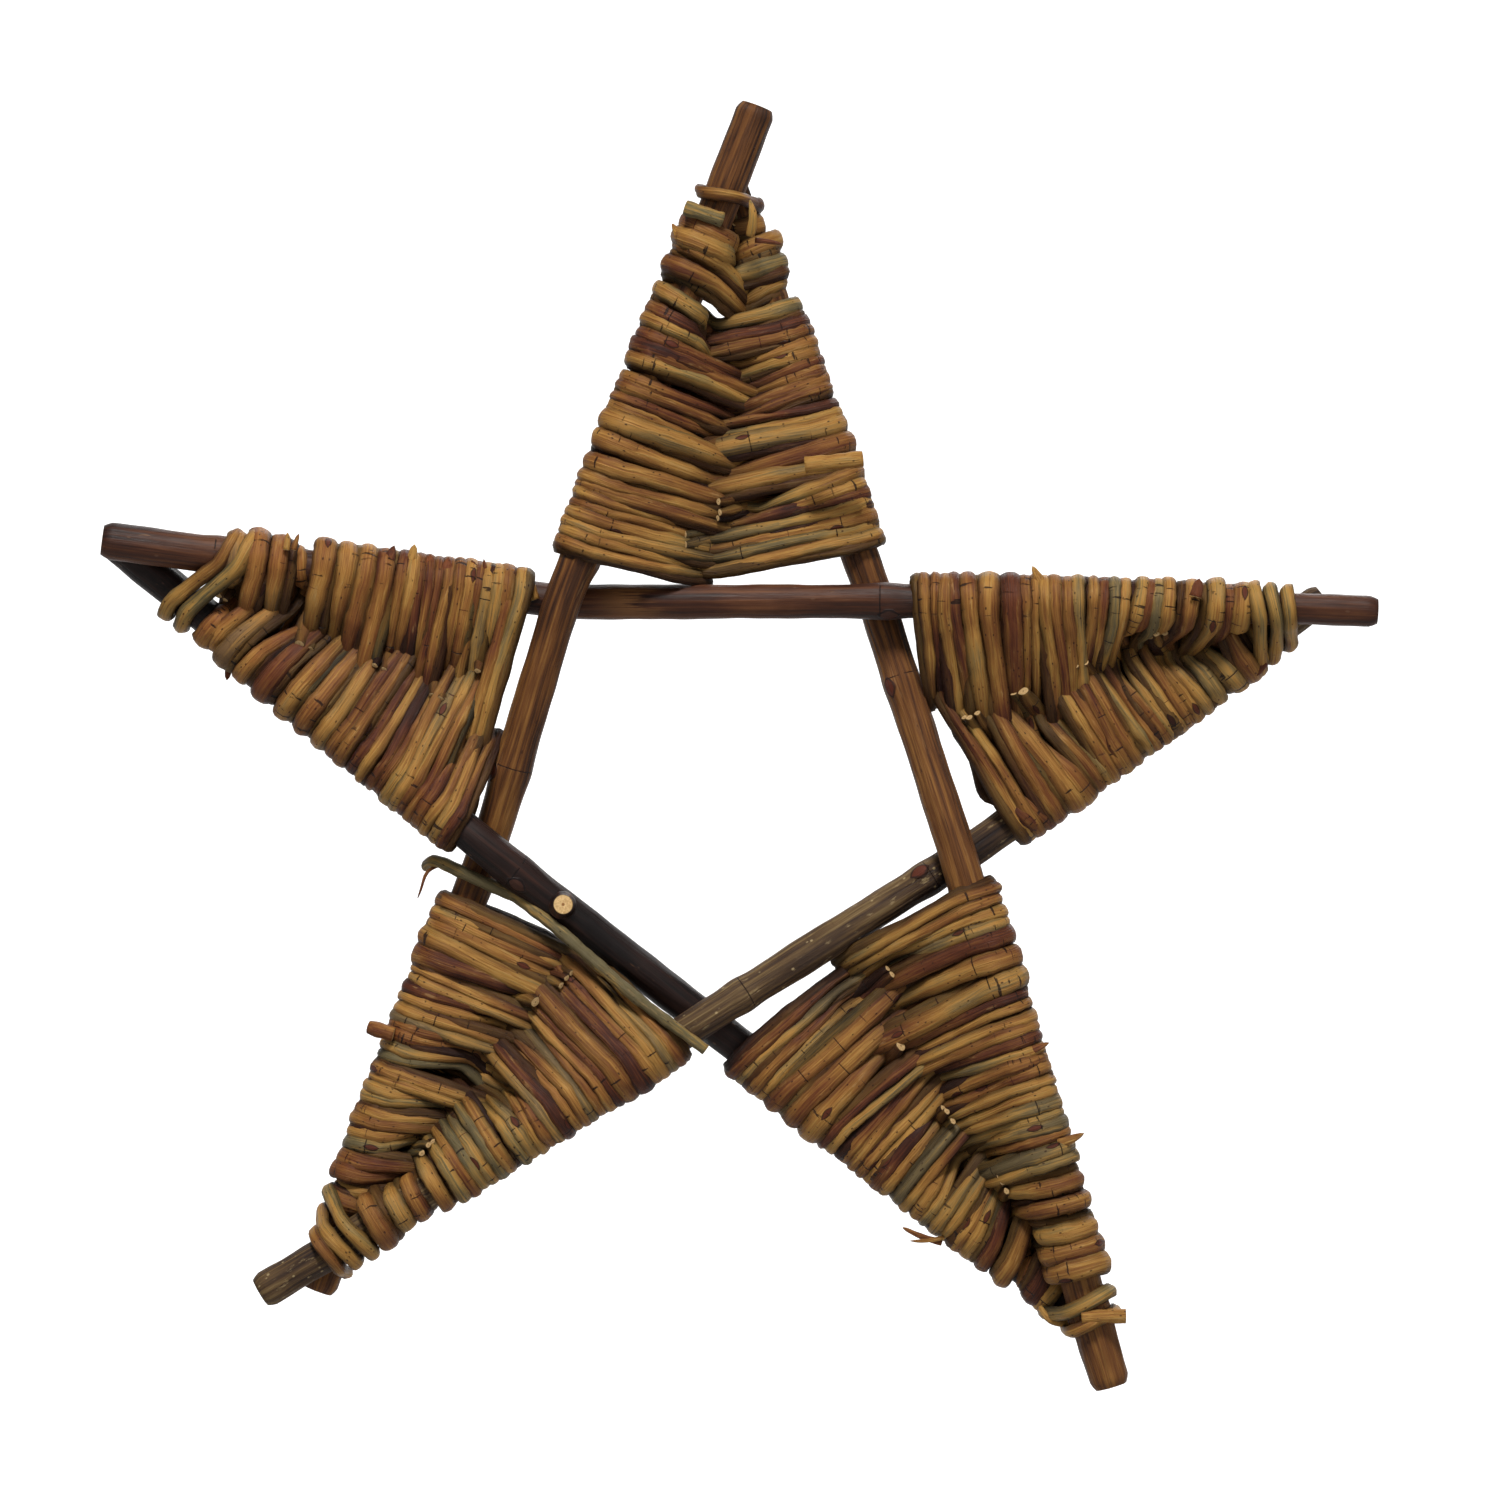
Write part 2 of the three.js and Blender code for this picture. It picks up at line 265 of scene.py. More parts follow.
# what all barks share: grains as (along, round, round), "From" pairs as (0 here, 1 there)
barkMarks = {
    "redShare": 0.5, "linesFrom": (0.56, 0.70), "scuffFade": 0.1,
    "crackGrain": (0.9, 0.16, 0.16), "cracksFrom": (0.645, 0.685), "bendFrom": (0.25, 0.8),
    "crackDepth": 0.22,
    "ringFrom": (0.19, 0.07), "gapGrain": (0.05, 0.35, 0.35), "gapsFrom": (0.40, 0.47),
    "scarPlace": 0.7, "scarRagged": 0.4, "facingFrom": (0.1, 0.3), "scarHeight": 0.16,
    "rimFrom": (1.0, 0.82), "rimShare": 0.9, "coreFrom": (0.72, 0.5), "coreShare": 0.85,
    # shadeShare and shadeDepth: how far the painted shade turns a colour towards the shade tint
    "wornFine": 0.6, "wornFrom": (0.72, 0.80), "shadeShare": 0.92, "shadeDepth": 0.88,
    "cutFrom": (0.02, 0.06), "woodGrain": (0.5, 2.2, 2.2), "woodStops": (0.3, 0.7),
    "pithFrom": (0.86, 0.93), "edgeFrom": (0.16, 0.08), "edgeShare": 0.6,
    "roughSpread": 0.5, "cutRough": 0.25, "bumpReach": 0.001,
}


def barkMaterial(name, look):
    # Colour = tone ramp, darkened in the streaks, spotted with lenticels, dark at the
    # nodes and in the cracks of the bends, reddish at the bud scars, darkened by painted
    # shade where rods cover one another, pale where cut.
    material, tree, skin = newMaterial(name)
    marks = barkMarks
    where, _, _, _ = fact(tree, "bark")
    _, tone, kink, cut = fact(tree, "state")
    _, budAlong, budAcross, budFacing = fact(tree, "bud")
    _, red, shade, rubbed = fact(tree, "hueAndShade")

    mottle = grain(tree, where, look["mottle"], detail=3.0)
    streak = grain(tree, where, look["streak"], detail=5.0, rough=0.6)
    fine = grain(tree, where, look["fine"], detail=6.0, rough=0.65)
    value = plus(tree, tone, centred(tree, mottle, look["mottling"]))
    value = plus(tree, value, centred(tree, streak, look["streaking"]), clamp=True)
    tint = ramp(tree, value, look["stops"])
    tint = blend(tree, red, tint, blend(tree, marks["redShare"], tint, look["red"]))

    lines = step(tree, fine, *marks["linesFrom"])
    tint = stain(tree, tint, lines, look["lines"], look["dark"])
    scuff = grain(tree, where, look["scuff"], detail=4.0, rough=0.7)
    pale = step(tree, scuff, look["scuffFrom"], look["scuffFrom"] + marks["scuffFade"])
    tint = stain(tree, tint, pale, look["scuffing"], look["scuffed"])
    spots = specks(tree, where, look["speck"], look["speckSize"])
    tint = stain(tree, tint, spots, look["specking"], look["speckTint"])

    # fine cracks across the rod where it bends
    across = grain(tree, where, marks["crackGrain"], detail=3.0, rough=0.5)
    cracks = times(tree, step(tree, across, *marks["cracksFrom"]), step(tree, kink, *marks["bendFrom"]))
    # the ring at each node, broken here and there
    ring = step(tree, sums(tree, "ABSOLUTE", budAlong), *marks["ringFrom"])
    gaps = grain(tree, where, marks["gapGrain"], detail=2.0)
    ring = times(tree, ring, step(tree, gaps, *marks["gapsFrom"]))
    splits = sums(tree, "MAXIMUM", cracks, ring)
    # the bud scar: an almond on one side of the node, with a darker rim
    length = sums(tree, "SUBTRACT", budAlong, look["budLong"] * marks["scarPlace"])
    length = sums(tree, "DIVIDE", length, look["budLong"])
    breadth = sums(tree, "DIVIDE", budAcross, look["budWide"])
    almond = plus(tree, sums(tree, "POWER", length, 2.0), sums(tree, "ABSOLUTE", breadth))
    almond = plus(tree, almond, centred(tree, fine, marks["scarRagged"]))
    facing = step(tree, budFacing, *marks["facingFrom"])
    scar = times(tree, step(tree, almond, *marks["rimFrom"]), facing)
    core = times(tree, step(tree, almond, *marks["coreFrom"]), facing)
    tint = stain(tree, tint, scar, marks["rimShare"], look["budRim"])
    tint = stain(tree, tint, core, marks["coreShare"], look["budTint"])
    tint = stain(tree, tint, splits, look["cracking"], look["crackTint"])

    # bark rubbed off in patches, and painted shade: darker where another rod covers it and on the sides that
    # face the next turns
    worn = plus(tree, mottle, times(tree, fine, marks["wornFine"]))
    worn = times(tree, step(tree, worn, *marks["wornFrom"]), rubbed)
    tint = blend(tree, worn, tint, look["scuffed"])
    shaded = blend(tree, marks["shadeDepth"], tint, look["shadeTint"])
    tint = stain(tree, tint, shade, marks["shadeShare"], shaded)

    # sawn or cut ends: pale wood, a dark pith, a thin brown edge
    isCut = step(tree, cut, *marks["cutFrom"])
    woodStops = list(zip(marks["woodStops"], (look["woodDark"], look["woodPale"])))
    wood = ramp(tree, grain(tree, where, marks["woodGrain"]), woodStops)
    wood = blend(tree, step(tree, cut, *marks["pithFrom"]), wood, look["pith"])
    edge = times(tree, step(tree, cut, *marks["edgeFrom"]), marks["edgeShare"])
    wood = blend(tree, edge, wood, look["dark"])
    tint = blend(tree, isCut, tint, wood)
    tree.links.new(tint, skin.inputs["Base Color"])

    rough = plus(tree, look["rough"], centred(tree, streak, marks["roughSpread"]))
    rough = plus(tree, rough, times(tree, isCut, marks["cutRough"]), clamp=True)
    tree.links.new(rough, skin.inputs["Roughness"])
    skin.inputs["Specular IOR Level"].default_value = look["gloss"]

    height = times(tree, streak, look["streakDepth"])
    height = plus(tree, height, times(tree, fine, look["fineDepth"]))
    height = sums(tree, "SUBTRACT", height, times(tree, splits, marks["crackDepth"]))
    height = plus(tree, height, times(tree, scar, marks["scarHeight"]))
    height = plus(tree, height, times(tree, spots, look["speckHeight"]))
    bump = tree.nodes.new("ShaderNodeBump")
    bump.inputs["Strength"].default_value = 1.0
    bump.inputs["Distance"].default_value = marks["bumpReach"]
    tree.links.new(height, bump.inputs["Height"])
    tree.links.new(bump.outputs["Normal"], skin.inputs["Normal"])
    return material


rodLook = {
    "stops": [(0.0, (46, 23, 19)), (0.18, (84, 42, 26)), (0.36, (120, 76, 37)),
              (0.54, (148, 104, 50)), (0.7, (176, 132, 66)), (0.85, (142, 116, 66)),
              (1.0, (100, 90, 62))],
    # shadeTint is the near-black colour of the painted shade where rods cover one another
    "red": (160, 90, 48), "shadeTint": (14, 7, 4),
    "mottle": (0.06, 0.3, 0.3), "mottling": 0.95,
    "streak": (0.06, 2.4, 2.4), "streaking": 0.9,
    "fine": (0.10, 5.5, 5.5), "lines": 0.8, "dark": (58, 32, 20),
    "scuff": (0.12, 0.6, 0.6), "scuffFrom": 0.60, "scuffing": 0.35, "scuffed": (184, 148, 96),
    "speck": (0.4, 0.7, 0.7), "speckSize": 0.17, "specking": 0.85, "speckTint": (46, 25, 17),
    "speckHeight": 0.05, "budLong": 2.1, "budWide": 0.85,
    "budRim": (44, 22, 16), "budTint": (92, 42, 26),
    "cracking": 0.9, "crackTint": (34, 19, 13),
    "woodPale": (222, 190, 138), "woodDark": (184, 144, 92), "pith": (140, 96, 56),
    "rough": 0.5, "gloss": 0.2, "streakDepth": 0.42, "fineDepth": 0.2,
}
brownLook = dict(rodLook, **{
    "stops": [(0.0, (38, 22, 16)), (0.3, (70, 42, 24)), (0.6, (106, 66, 33)),
              (1.0, (138, 95, 48))],
    "mottle": (0.03, 0.12, 0.12), "mottling": 1.2, "streak": (0.03, 0.9, 0.9), "streaking": 2.4,
    "fine": (0.04, 2.2, 2.2), "lines": 0.85, "dark": (42, 25, 20),
    "scuff": (0.05, 0.7, 0.7), "scuffFrom": 0.60, "scuffing": 0.4, "scuffed": (150, 112, 72),
    "speck": (0.16, 0.3, 0.3), "speckSize": 0.12, "specking": 0.6, "budLong": 3.0, "budWide": 2.0,
    "rough": 0.55, "gloss": 0.2, "streakDepth": 0.6, "fineDepth": 0.35,
})
darkLook = dict(brownLook, **{
    "stops": [(0.0, (18, 12, 12)), (0.4, (42, 25, 21)), (0.7, (70, 39, 25)),
              (1.0, (100, 62, 38))],
    "mottling": 1.1, "streaking": 1.3, "lines": 0.5, "dark": (22, 15, 16),
    "scuff": (0.07, 0.35, 0.35), "scuffFrom": 0.66, "scuffing": 0.5, "scuffed": (130, 88, 52),
    "budRim": (22, 13, 13), "budTint": (70, 42, 32), "crackTint": (18, 12, 12),
    "speckTint": (98, 70, 52), "specking": 0.5, "rough": 0.48, "gloss": 0.22,
    "streakDepth": 0.22, "fineDepth": 0.14,
})
greyLook = dict(brownLook, **{
    "stops": [(0.0, (34, 24, 22)), (0.4, (66, 48, 34)), (0.7, (96, 74, 48)),
              (1.0, (130, 108, 72))],
    "mottling": 1.3, "streaking": 2.0, "lines": 0.75, "dark": (38, 28, 25),
    "scuff": (0.16, 0.5, 0.5), "scuffFrom": 0.60, "scuffing": 0.55, "scuffed": (160, 138, 98),
    "speck": (0.3, 0.36, 0.36), "speckSize": 0.16, "specking": 0.7, "speckTint": (176, 154, 112),
    "rough": 0.6, "gloss": 0.2, "streakDepth": 0.45,
})

looks = {"rod": rodLook, "brown": brownLook, "dark": darkLook, "grey": greyLook}
barks = {kind: barkMaterial(f"{kind}Bark", look) for kind, look in looks.items()}
print("finishes ready")


# a round stem along a path
stemEnd = {
    "shares": (0.06, 0.35, 0.7, 0.93),  # of the radius, the rings that close a cut end
    "dome": 0.075, "cutDepth": 1.05,
}
endRings = len(stemEnd["shares"])


def stemGrid(p, beside, radiusWide, radiusDeep, sides):
    # point = path + wide * cos(a) * radiusWide + deep * sin(a) * radiusDeep; each end
    # is closed by rings drawn in to the middle of the cut, the first just inside the rim
    run, wide, deep = frameAlong(p, beside)
    angle = roundAngles(sides)
    shares = np.array(stemEnd["shares"])
    rows = len(p)
    index = np.concatenate([np.zeros(endRings, int), np.arange(rows), np.full(endRings, rows - 1)])
    draw = np.concatenate([shares, np.ones(rows), shares[::-1]])
    dome = stemEnd["dome"] * (1 - shares ** 4)
    push = np.concatenate([-dome, np.zeros(rows), dome[::-1]])
    depth = stemEnd["cutDepth"] - shares
    cut = np.concatenate([depth, np.zeros(rows), depth[::-1]])
    wideReach = radiusWide.reshape(rows, -1)[index] * draw[:, None]
    deepReach = radiusDeep.reshape(rows, -1)[index] * draw[:, None]
    centre = p[index] + run[index] * push[:, None]
    grid = (centre[:, None, :]
            + wide[index][:, None, :] * (np.cos(angle) * wideReach)[..., None]
            + deep[index][:, None, :] * (np.sin(angle) * deepReach)[..., None])
    return grid, index, draw, cut, angle


def budBumps(s, angle, places, turns, bud):
    # sum over the buds of height * bell of the length from it * bell of the angle from it
    height, after, halfLength, halfAngle = bud
    total = np.zeros((len(s), len(angle)))
    for place, turn in zip(places, turns):
        near = bell(s - place - after, halfLength)[:, None]
        facing = bell(np.angle(np.exp(1j * (angle - turn))), halfAngle)[None, :]
        total += height * near * facing
    return total


noNode = 50.0  # stands for the length from a node where a stem has none


def barkFacts(index, draw, cut, angle, along, girth, tone, kink, seedShift, budPlaces=(), budAngles=(),
              red=0.0, shade=None, rubbed=None):
    # bark = (length along, girth * cos, girth * sin), the same all round and without a seam
    # state = (tone, how bent, how far inside a cut); bud = (length from the nearest node,
    # width from its bud, 1 on the bud's side to -1 behind it); hue = (how red, how much painted
    # shade darkens it, how much of the bark is rubbed off)
    s = along[index]
    g = girth[index] * draw
    bark = np.stack([np.broadcast_to(s[:, None], (len(s), len(angle))),
                     g[:, None] * np.cos(angle)[None, :] + seedShift,
                     g[:, None] * np.sin(angle)[None, :]], axis=-1)
    state = np.stack([np.broadcast_to(v[:, None], (len(s), len(angle)))
                      for v in (tone[index], kink[index], cut)], axis=-1)
    if len(budPlaces):
        nearest = np.argmin(np.abs(s[:, None] - budPlaces[None, :]), axis=1)
        away = s - budPlaces[nearest]
        turn = angle[None, :] - budAngles[nearest][:, None]
    else:
        away = np.full(len(s), noNode)
        turn = np.broadcast_to(angle[None, :], (len(s), len(angle)))
    along = np.broadcast_to(away[:, None], turn.shape)
    bud = np.stack([along, g[:, None] * np.sin(turn), np.cos(turn)], axis=-1)
    hueAndShade = np.zeros(bud.shape)
    hueAndShade[..., 0] = red
    hueAndShade[..., 1] = 0.0 if shade is None else shade[index]
    hueAndShade[..., 2] = 0.0 if rubbed is None else rubbed[index]
    return {"bark": bark, "state": state, "bud": bud, "hueAndShade": hueAndShade}


# the five sticks
lift = 4.95  # half the distance between two sticks where they cross
nailDrop = 4.35  # height of the crossbar's middle over the point that the nail bears on

crossings = {
    "top": (1.5, 104.6), "left": (-152.1, 14.7), "right": (147.3, -1.9),
    "lowerLeft": (-97.7, -161.9), "lowerRight": (92.1, -179.9),
    "innerTopLeft": (-40.0, 0.0), "innerTopRight": (38.5, 0.0), "innerLeft": (-58.8, -61.7),
    "innerBottom": (-5.0, -104.4), "innerRight": (59.0, -64.6),
}
sticks = {
    "stickTopToLowerLeft": {
        "ends": [(8.6, 123.2), (-101.8, -172.6)], "over": ["top", "innerTopLeft", "innerLeft", "lowerLeft"],
        "sides": [-1, -1, 1, 1], "radii": [5.1, 4.9, 4.7], "node": "stick_top_to_lower_left",
        "bark": "brown", "tone": 0.55,
        "nodes": [71, 120, 176, 226, 280], "wrinkle": 0.10, "seed": 3,
    },
    "stickTopToLowerRight": {
        "ends": [(1.2, 105.5), (96.8, -195.7)], "over": ["top", "innerTopRight", "innerRight", "lowerRight"],
        "sides": [1, 1, -1, -1], "radii": [4.5, 4.8, 5.2], "node": "stick_top_to_lower_right",
        "bark": "brown", "tone": 0.6,
        "nodes": [30, 82, 132, 190, 250, 296], "wrinkle": 0.18, "seed": 5,
    },
    "crossbar": {
        "ends": [(-154.7, 15.1), (163.1, -2.6)], "over": ["left", "innerTopLeft", "innerTopRight", "right"],
        "sides": [-1, 1, -1, -1], "radii": [4.9, 4.5, 4.1], "node": "crossbar",
        "bark": "dark", "tone": 0.62,
        "nodes": [28, 74, 196, 236, 292], "wrinkle": 0.05, "rubbed": (134, 7), "seed": 9,
    },
    "stickLeftToLowerRight": {
        "ends": [(-152.9, 15.5), (96.3, -183.1)], "over": ["left", "innerLeft", "innerBottom", "lowerRight"],
        "sides": [1, -1, 1, 1], "radii": [4.8, 4.7, 4.5], "node": "stick_left_to_lower_right",
        "bark": "dark", "tone": 0.2,
        "nodes": [34, 88, 131, 205, 266], "wrinkle": 0.06, "seed": 12,
    },
    "stickRightToLowerLeft": {
        "ends": [(150.5, 1.1), (-115.2, -172.4)], "over": ["right", "innerRight", "innerBottom", "lowerLeft"],
        "sides": [1, 1, -1, -1], "radii": [4.3, 4.5, 4.7], "node": "stick_right_to_lower_left",
        "bark": "grey", "tone": 0.5,
        "nodes": [26, 70, 121, 176, 229, 281], "wrinkle": 0.14, "seed": 15,
    },
}
stickShape = {
    "step": 1.0, "sides": 40, "shortestRun": 4.5, "pathSoftening": 5.0, "girthSoftening": 8.0,
    "barkRoom": 0.12, "firstBud": -0.9, "budTurn": 2.4, "budScatter": 0.4,
    "swell": (0.35, 1.0, 3.2),  # height, place after the node, half length
    "bud": (0.55, 2.0, 2.6, 0.42),  # height, place after the node, half length, half angle
    "edge": (0.2, 1.1),  # the share that the sawn edge is drawn in, and the length of that
    "uneven": ((61.0, 23.0, 9.0), (0.08, 0.06, 0.03)), "twist": ((190.0, 83.0), (0.6, 0.3)),
    "sway": ((40.0,), (0.7,)), "toneDrift": ((120.0, 47.0), (0.10, 0.06)),
    "ridges": ((2, 0.10), (3, 0.08)), "wrinkles": (7, 11), "wrinkleShare": 0.5, "barkShift": 7.0,
}
sideways = np.array([1.0, 0.0, 0.0])
backwards = np.array([0.0, 1.0, 0.0])


def crossingPoint(name):
    # a crossing in the frame of the part, half way between its two sticks
    x, z = crossings[name]
    return np.array([x, 0.0, z + nailDrop])


def stickLine(stick):
    # straight runs from crossing to crossing, in front (-) or behind (+) by the lift,
    # at one-millimetre steps, then softened so that the stick bends
    flat = [stick["ends"][0]] + [crossings[c] for c in stick["over"]] + [stick["ends"][1]]
    sides = [stick["sides"][0]] + stick["sides"] + [stick["sides"][-1]]
    radii = np.array(stick["radii"])[[0, 0, 1, 1, 2, 2]]
    points = np.array([[x, side * lift, z + nailDrop] for (x, z), side in zip(flat, sides)])
    if np.linalg.norm(points[1] - points[0]) < stickShape["shortestRun"]:
        points = np.delete(points, 1, axis=0)
        radii = np.delete(radii, 1)
    s, p, r = evenSteps(points, stickShape["step"], radii[:, None])
    girth = softened(np.hstack([r, r]), stickShape["girthSoftening"])[:, 0]
    return s, softened(p, stickShape["pathSoftening"]), girth


stickLines = {}
for name, stick in sticks.items():
    rng = np.random.default_rng(stick["seed"])
    shape = stickShape
    s, p, r = stickLine(stick)
    stickLines[name] = (p, r)
    angle = roundAngles(shape["sides"])
    places = np.array(stick["nodes"], float)
    budAngles = np.array([(shape["firstBud"] + shape["budTurn"] * i) % fullTurn for i in range(len(places))])
    budAngles = budAngles + rng.uniform(-shape["budScatter"], shape["budScatter"], len(places))
    # a swelling at each node, low ridges that wander round the stick, a softly uneven girth
    height, after, halfLength = shape["swell"]
    swell = np.sum(height * bell(s[:, None] - places[None, :] - after, halfLength), axis=1)
    uneven = wander(s, rng, *shape["uneven"])
    twist = wander(s, rng, *shape["twist"])
    wrinkles = tuple((n, stick["wrinkle"] * shape["wrinkleShare"]) for n in shape["wrinkles"])
    ridges = sum(np.cos(n * (angle[None, :] + twist[:, None]) + wander(s, rng, *shape["sway"])[:, None]) * a
                 for n, a in shape["ridges"] + wrinkles)
    bumps = budBumps(s, angle, places, budAngles, shape["bud"])
    drawnIn, edgeLength = shape["edge"]
    rimmed = (1 - drawnIn * bell(np.minimum(s, s[-1] - s), edgeLength))[:, None]
    reach = (r[:, None] - shape["barkRoom"] + (swell + uneven)[:, None] + ridges + bumps) * rimmed
    beside = np.broadcast_to(backwards, p.shape)
    grid, index, draw, cut, angle = stemGrid(p, beside, reach, reach, shape["sides"])
    tone = np.full(len(s), stick["tone"]) + wander(s, rng, *shape["toneDrift"])
    rubbed = None
    if "rubbed" in stick:
        place, extent = stick["rubbed"]
        rubbed = bell(s - place, extent)[:, None] * np.clip(-np.cos(angle[None, :]), 0, 1)
    shift = stick["seed"] * shape["barkShift"]
    facts = barkFacts(index, draw, cut, angle, s, r, tone, np.zeros(len(s)), shift, places, budAngles,
                      rubbed=rubbed)
    makePiece(f"{name}Bark", grid, facts, stick["bark"], (stick["node"],))
print("sticks ready")

# the branch cut back to a stub on the dark stick
knot = {
    "along": 0.34, "radius": 2.65, "height": 1.9, "lean": (0.12, -1.0, 0.1), "rows": 12, "sides": 32,
    "collar": (0.35, 0.62, 0.16), "worn": 0.06,  # height, place and half length of the swelling
    "tone": 0.35, "barkLength": 7, "barkShift": 3.0,
}
a, b = crossingPoint("innerLeft"), crossingPoint("innerBottom")
foot = a + (b - a) * knot["along"] + backwards * (-lift + 2 * lift * knot["along"])
out = unit(np.array(knot["lean"]))
t = np.linspace(0, 1, knot["rows"])
p = foot + out * (t * (sticks["stickLeftToLowerRight"]["radii"][1] + knot["height"]))[:, None]
height, place, halfLength = knot["collar"]
r = knot["radius"] * (1.0 + height * bell(t - place, halfLength) - knot["worn"] * t ** 6)
grid, index, draw, cut, angle = stemGrid(p, np.broadcast_to(sideways, p.shape), r, r, knot["sides"])
cut[:endRings] = 0
facts = barkFacts(index, draw, cut, angle, t * knot["barkLength"], r, np.full(len(t), knot["tone"]),
                  np.zeros(len(t)), knot["barkShift"])
makePiece("cutBranch", grid, facts, "dark")

# the weave
weave = {
    "air": 0.12,  # between rod and stick
    "tipPitch": 6.1,  # from row to row at the tip
    "leadFrom": 5,  # half turns over which the lead grows to its full length
    "scatter": 0.85, "middleScatter": 0.8, "middleShift": 0.12,
    "flattened": 0.78, "tightest": 0.97, "slip": 0.45, "bow": (0.2, 1.7), "arcPoints": 33, "legPoints": 17,
    "pinch": 0.2, "pinchReach": 6.5, "trackStep": 2.0,
}
# In each arm: the crossings at its tip and base, how far the turns on the two sticks sit
# further out (at the tip, at the base), the first and last row, and for each of the five rods
# its turns, tone, redness and radius. A ring is (name, place, rise, (how far further in on
# either stick), radius, tone).
arms = {
    "top": {
        "tip": "top",
        "sides": (("stickTopToLowerLeft", "innerTopLeft"), ("stickTopToLowerRight", "innerTopRight")),
        "lead": ((8.4, 5), (1.5, 7)), "rows": (9.6, 97.5), "turns": (5, 5, 3, 2, 2),
        "rings": (("tie_top", 2, 6, (0, 0), 1.45, 0.62),),
        "tones": (0.66, 0.5, 0.6, 0.54, 0.52), "reds": (0.05, 0.3, 0.2, 0, 0),
        "radii": (2.2, 2.5, 2.4, 2.5, 2.5), "double": (2, 4, 5), "seed": 101},
    "left": {
        "tip": "left", "sides": (("stickLeftToLowerRight", "innerLeft"), ("crossbar", "innerTopLeft")),
        "lead": ((8, -2), (2, 5)), "rows": (28, 105), "turns": (4, 4, 3, 2, 2),
        "rings": (("ring_left_1", 18.5, 2, (0, 8), 1.8, 0.66), ("ring_left_2", 23, 2, (0, 8), 1.9, 0.6)),
        "tones": (0.6, 0.5, 0.3, 0.5, 0.55), "reds": (0.5, 0.3, 0, 0, 0),
        "radii": (2.15, 2.3, 2.35, 2.5, 2.5), "double": (3, 4, 5), "seed": 202},
    "lower_left": {
        "tip": "lowerLeft",
        "sides": (("stickRightToLowerLeft", "innerBottom"), ("stickTopToLowerLeft", "innerLeft")),
        "lead": ((2, 2), (7.5, 7)), "rows": (9.6, 95.5), "turns": (4, 5, 4, 2, 2),
        "rings": (("tie_lower_left", -2.5, 6, (0, 0), 1.5, 0.62),
                  ("ring_lower_left_1", 1.6, 4, (0, 2), 1.7, 0.66),
                  ("ring_lower_left_2", 6, 4, (0, 2), 1.8, 0.6)),
        "tones": (0.5, 0.55, 0.5, 0.4, 0.5), "reds": (0.2, 0.1, 0.4, 0, 0),
        "radii": (2.2, 2.5, 2.4, 2.5, 2.5), "double": (2, 3, 5), "seed": 303},
    "lower_right": {
        "tip": "lowerRight",
        "sides": (("stickTopToLowerRight", "innerRight"), ("stickLeftToLowerRight", "innerBottom")),
        "lead": ((4.3, 2.2), (7.5, 2)), "rows": (9.8, 107.5), "turns": (5, 4, 4, 3, 2),
        "rings": (("tie_lower_right", -1.5, 6, (0, 0), 1.5, 0.62),
                  ("ring_lower_right_1", 4, 4, (0, 2), 1.7, 0.66)),
        "tones": (0.45, 0.55, 0.5, 0.5, 0.55), "reds": (0.1, 0.3, 0.5, 0.2, 0),
        "radii": (2.2, 2.5, 2.4, 2.5, 2.5), "double": (2, 3, 5), "seed": 404},
    "right": {
        "tip": "right", "sides": (("crossbar", "innerTopRight"), ("stickRightToLowerLeft", "innerRight")),
        "lead": ((8, 3), (3, 7.5)), "rows": (14, 95.5), "turns": (4, 4, 3, 3, 2),
        "rings": (("tie_right", 4.6, 6, (0, 0), 1.5, 0.62), ("ring_right_1", 8.6, 4, (0, 2), 1.6, 0.66),
                  ("ring_right_2", 12.6, 4, (0, 2), 1.7, 0.6)),
        "tones": (0.58, 0.5, 0.52, 0.45, 0.55), "reds": (0.1, 0.2, 0.4, 0.2, 0),
        "radii": (2.1, 2.4, 2.5, 2.4, 2.5), "double": (2, 3, 5), "seed": 505},
}


def armFrame(arm):
    # the axis halves the angle between the arm's two sticks; s is measured along it from the tip
    tip = crossingPoint(arm["tip"])
    inner = [crossingPoint(c) for _, c in arm["sides"]]
    axis = unit(unit(inner[0] - tip) + unit(inner[1] - tip))
    tracks = []
    for name, _ in arm["sides"]:
        p, r = stickLines[name]
        s = (p - tip) @ axis
        order = np.argsort(s)
        tracks.append((s[order], p[order], r[order]))
    return tip, axis, tracks


def onStick(track, s):
    # the middle, the run and the radius of a stick at the arm's measure s
    at, p, r = track
    here, ahead, behind = [np.stack([np.interp(s + way, at, p[:, i]) for i in range(3)], axis=-1)
                           for way in (0.0, weave["trackStep"], -weave["trackStep"])]
    return here, unit(ahead - behind), np.interp(s, at, r)


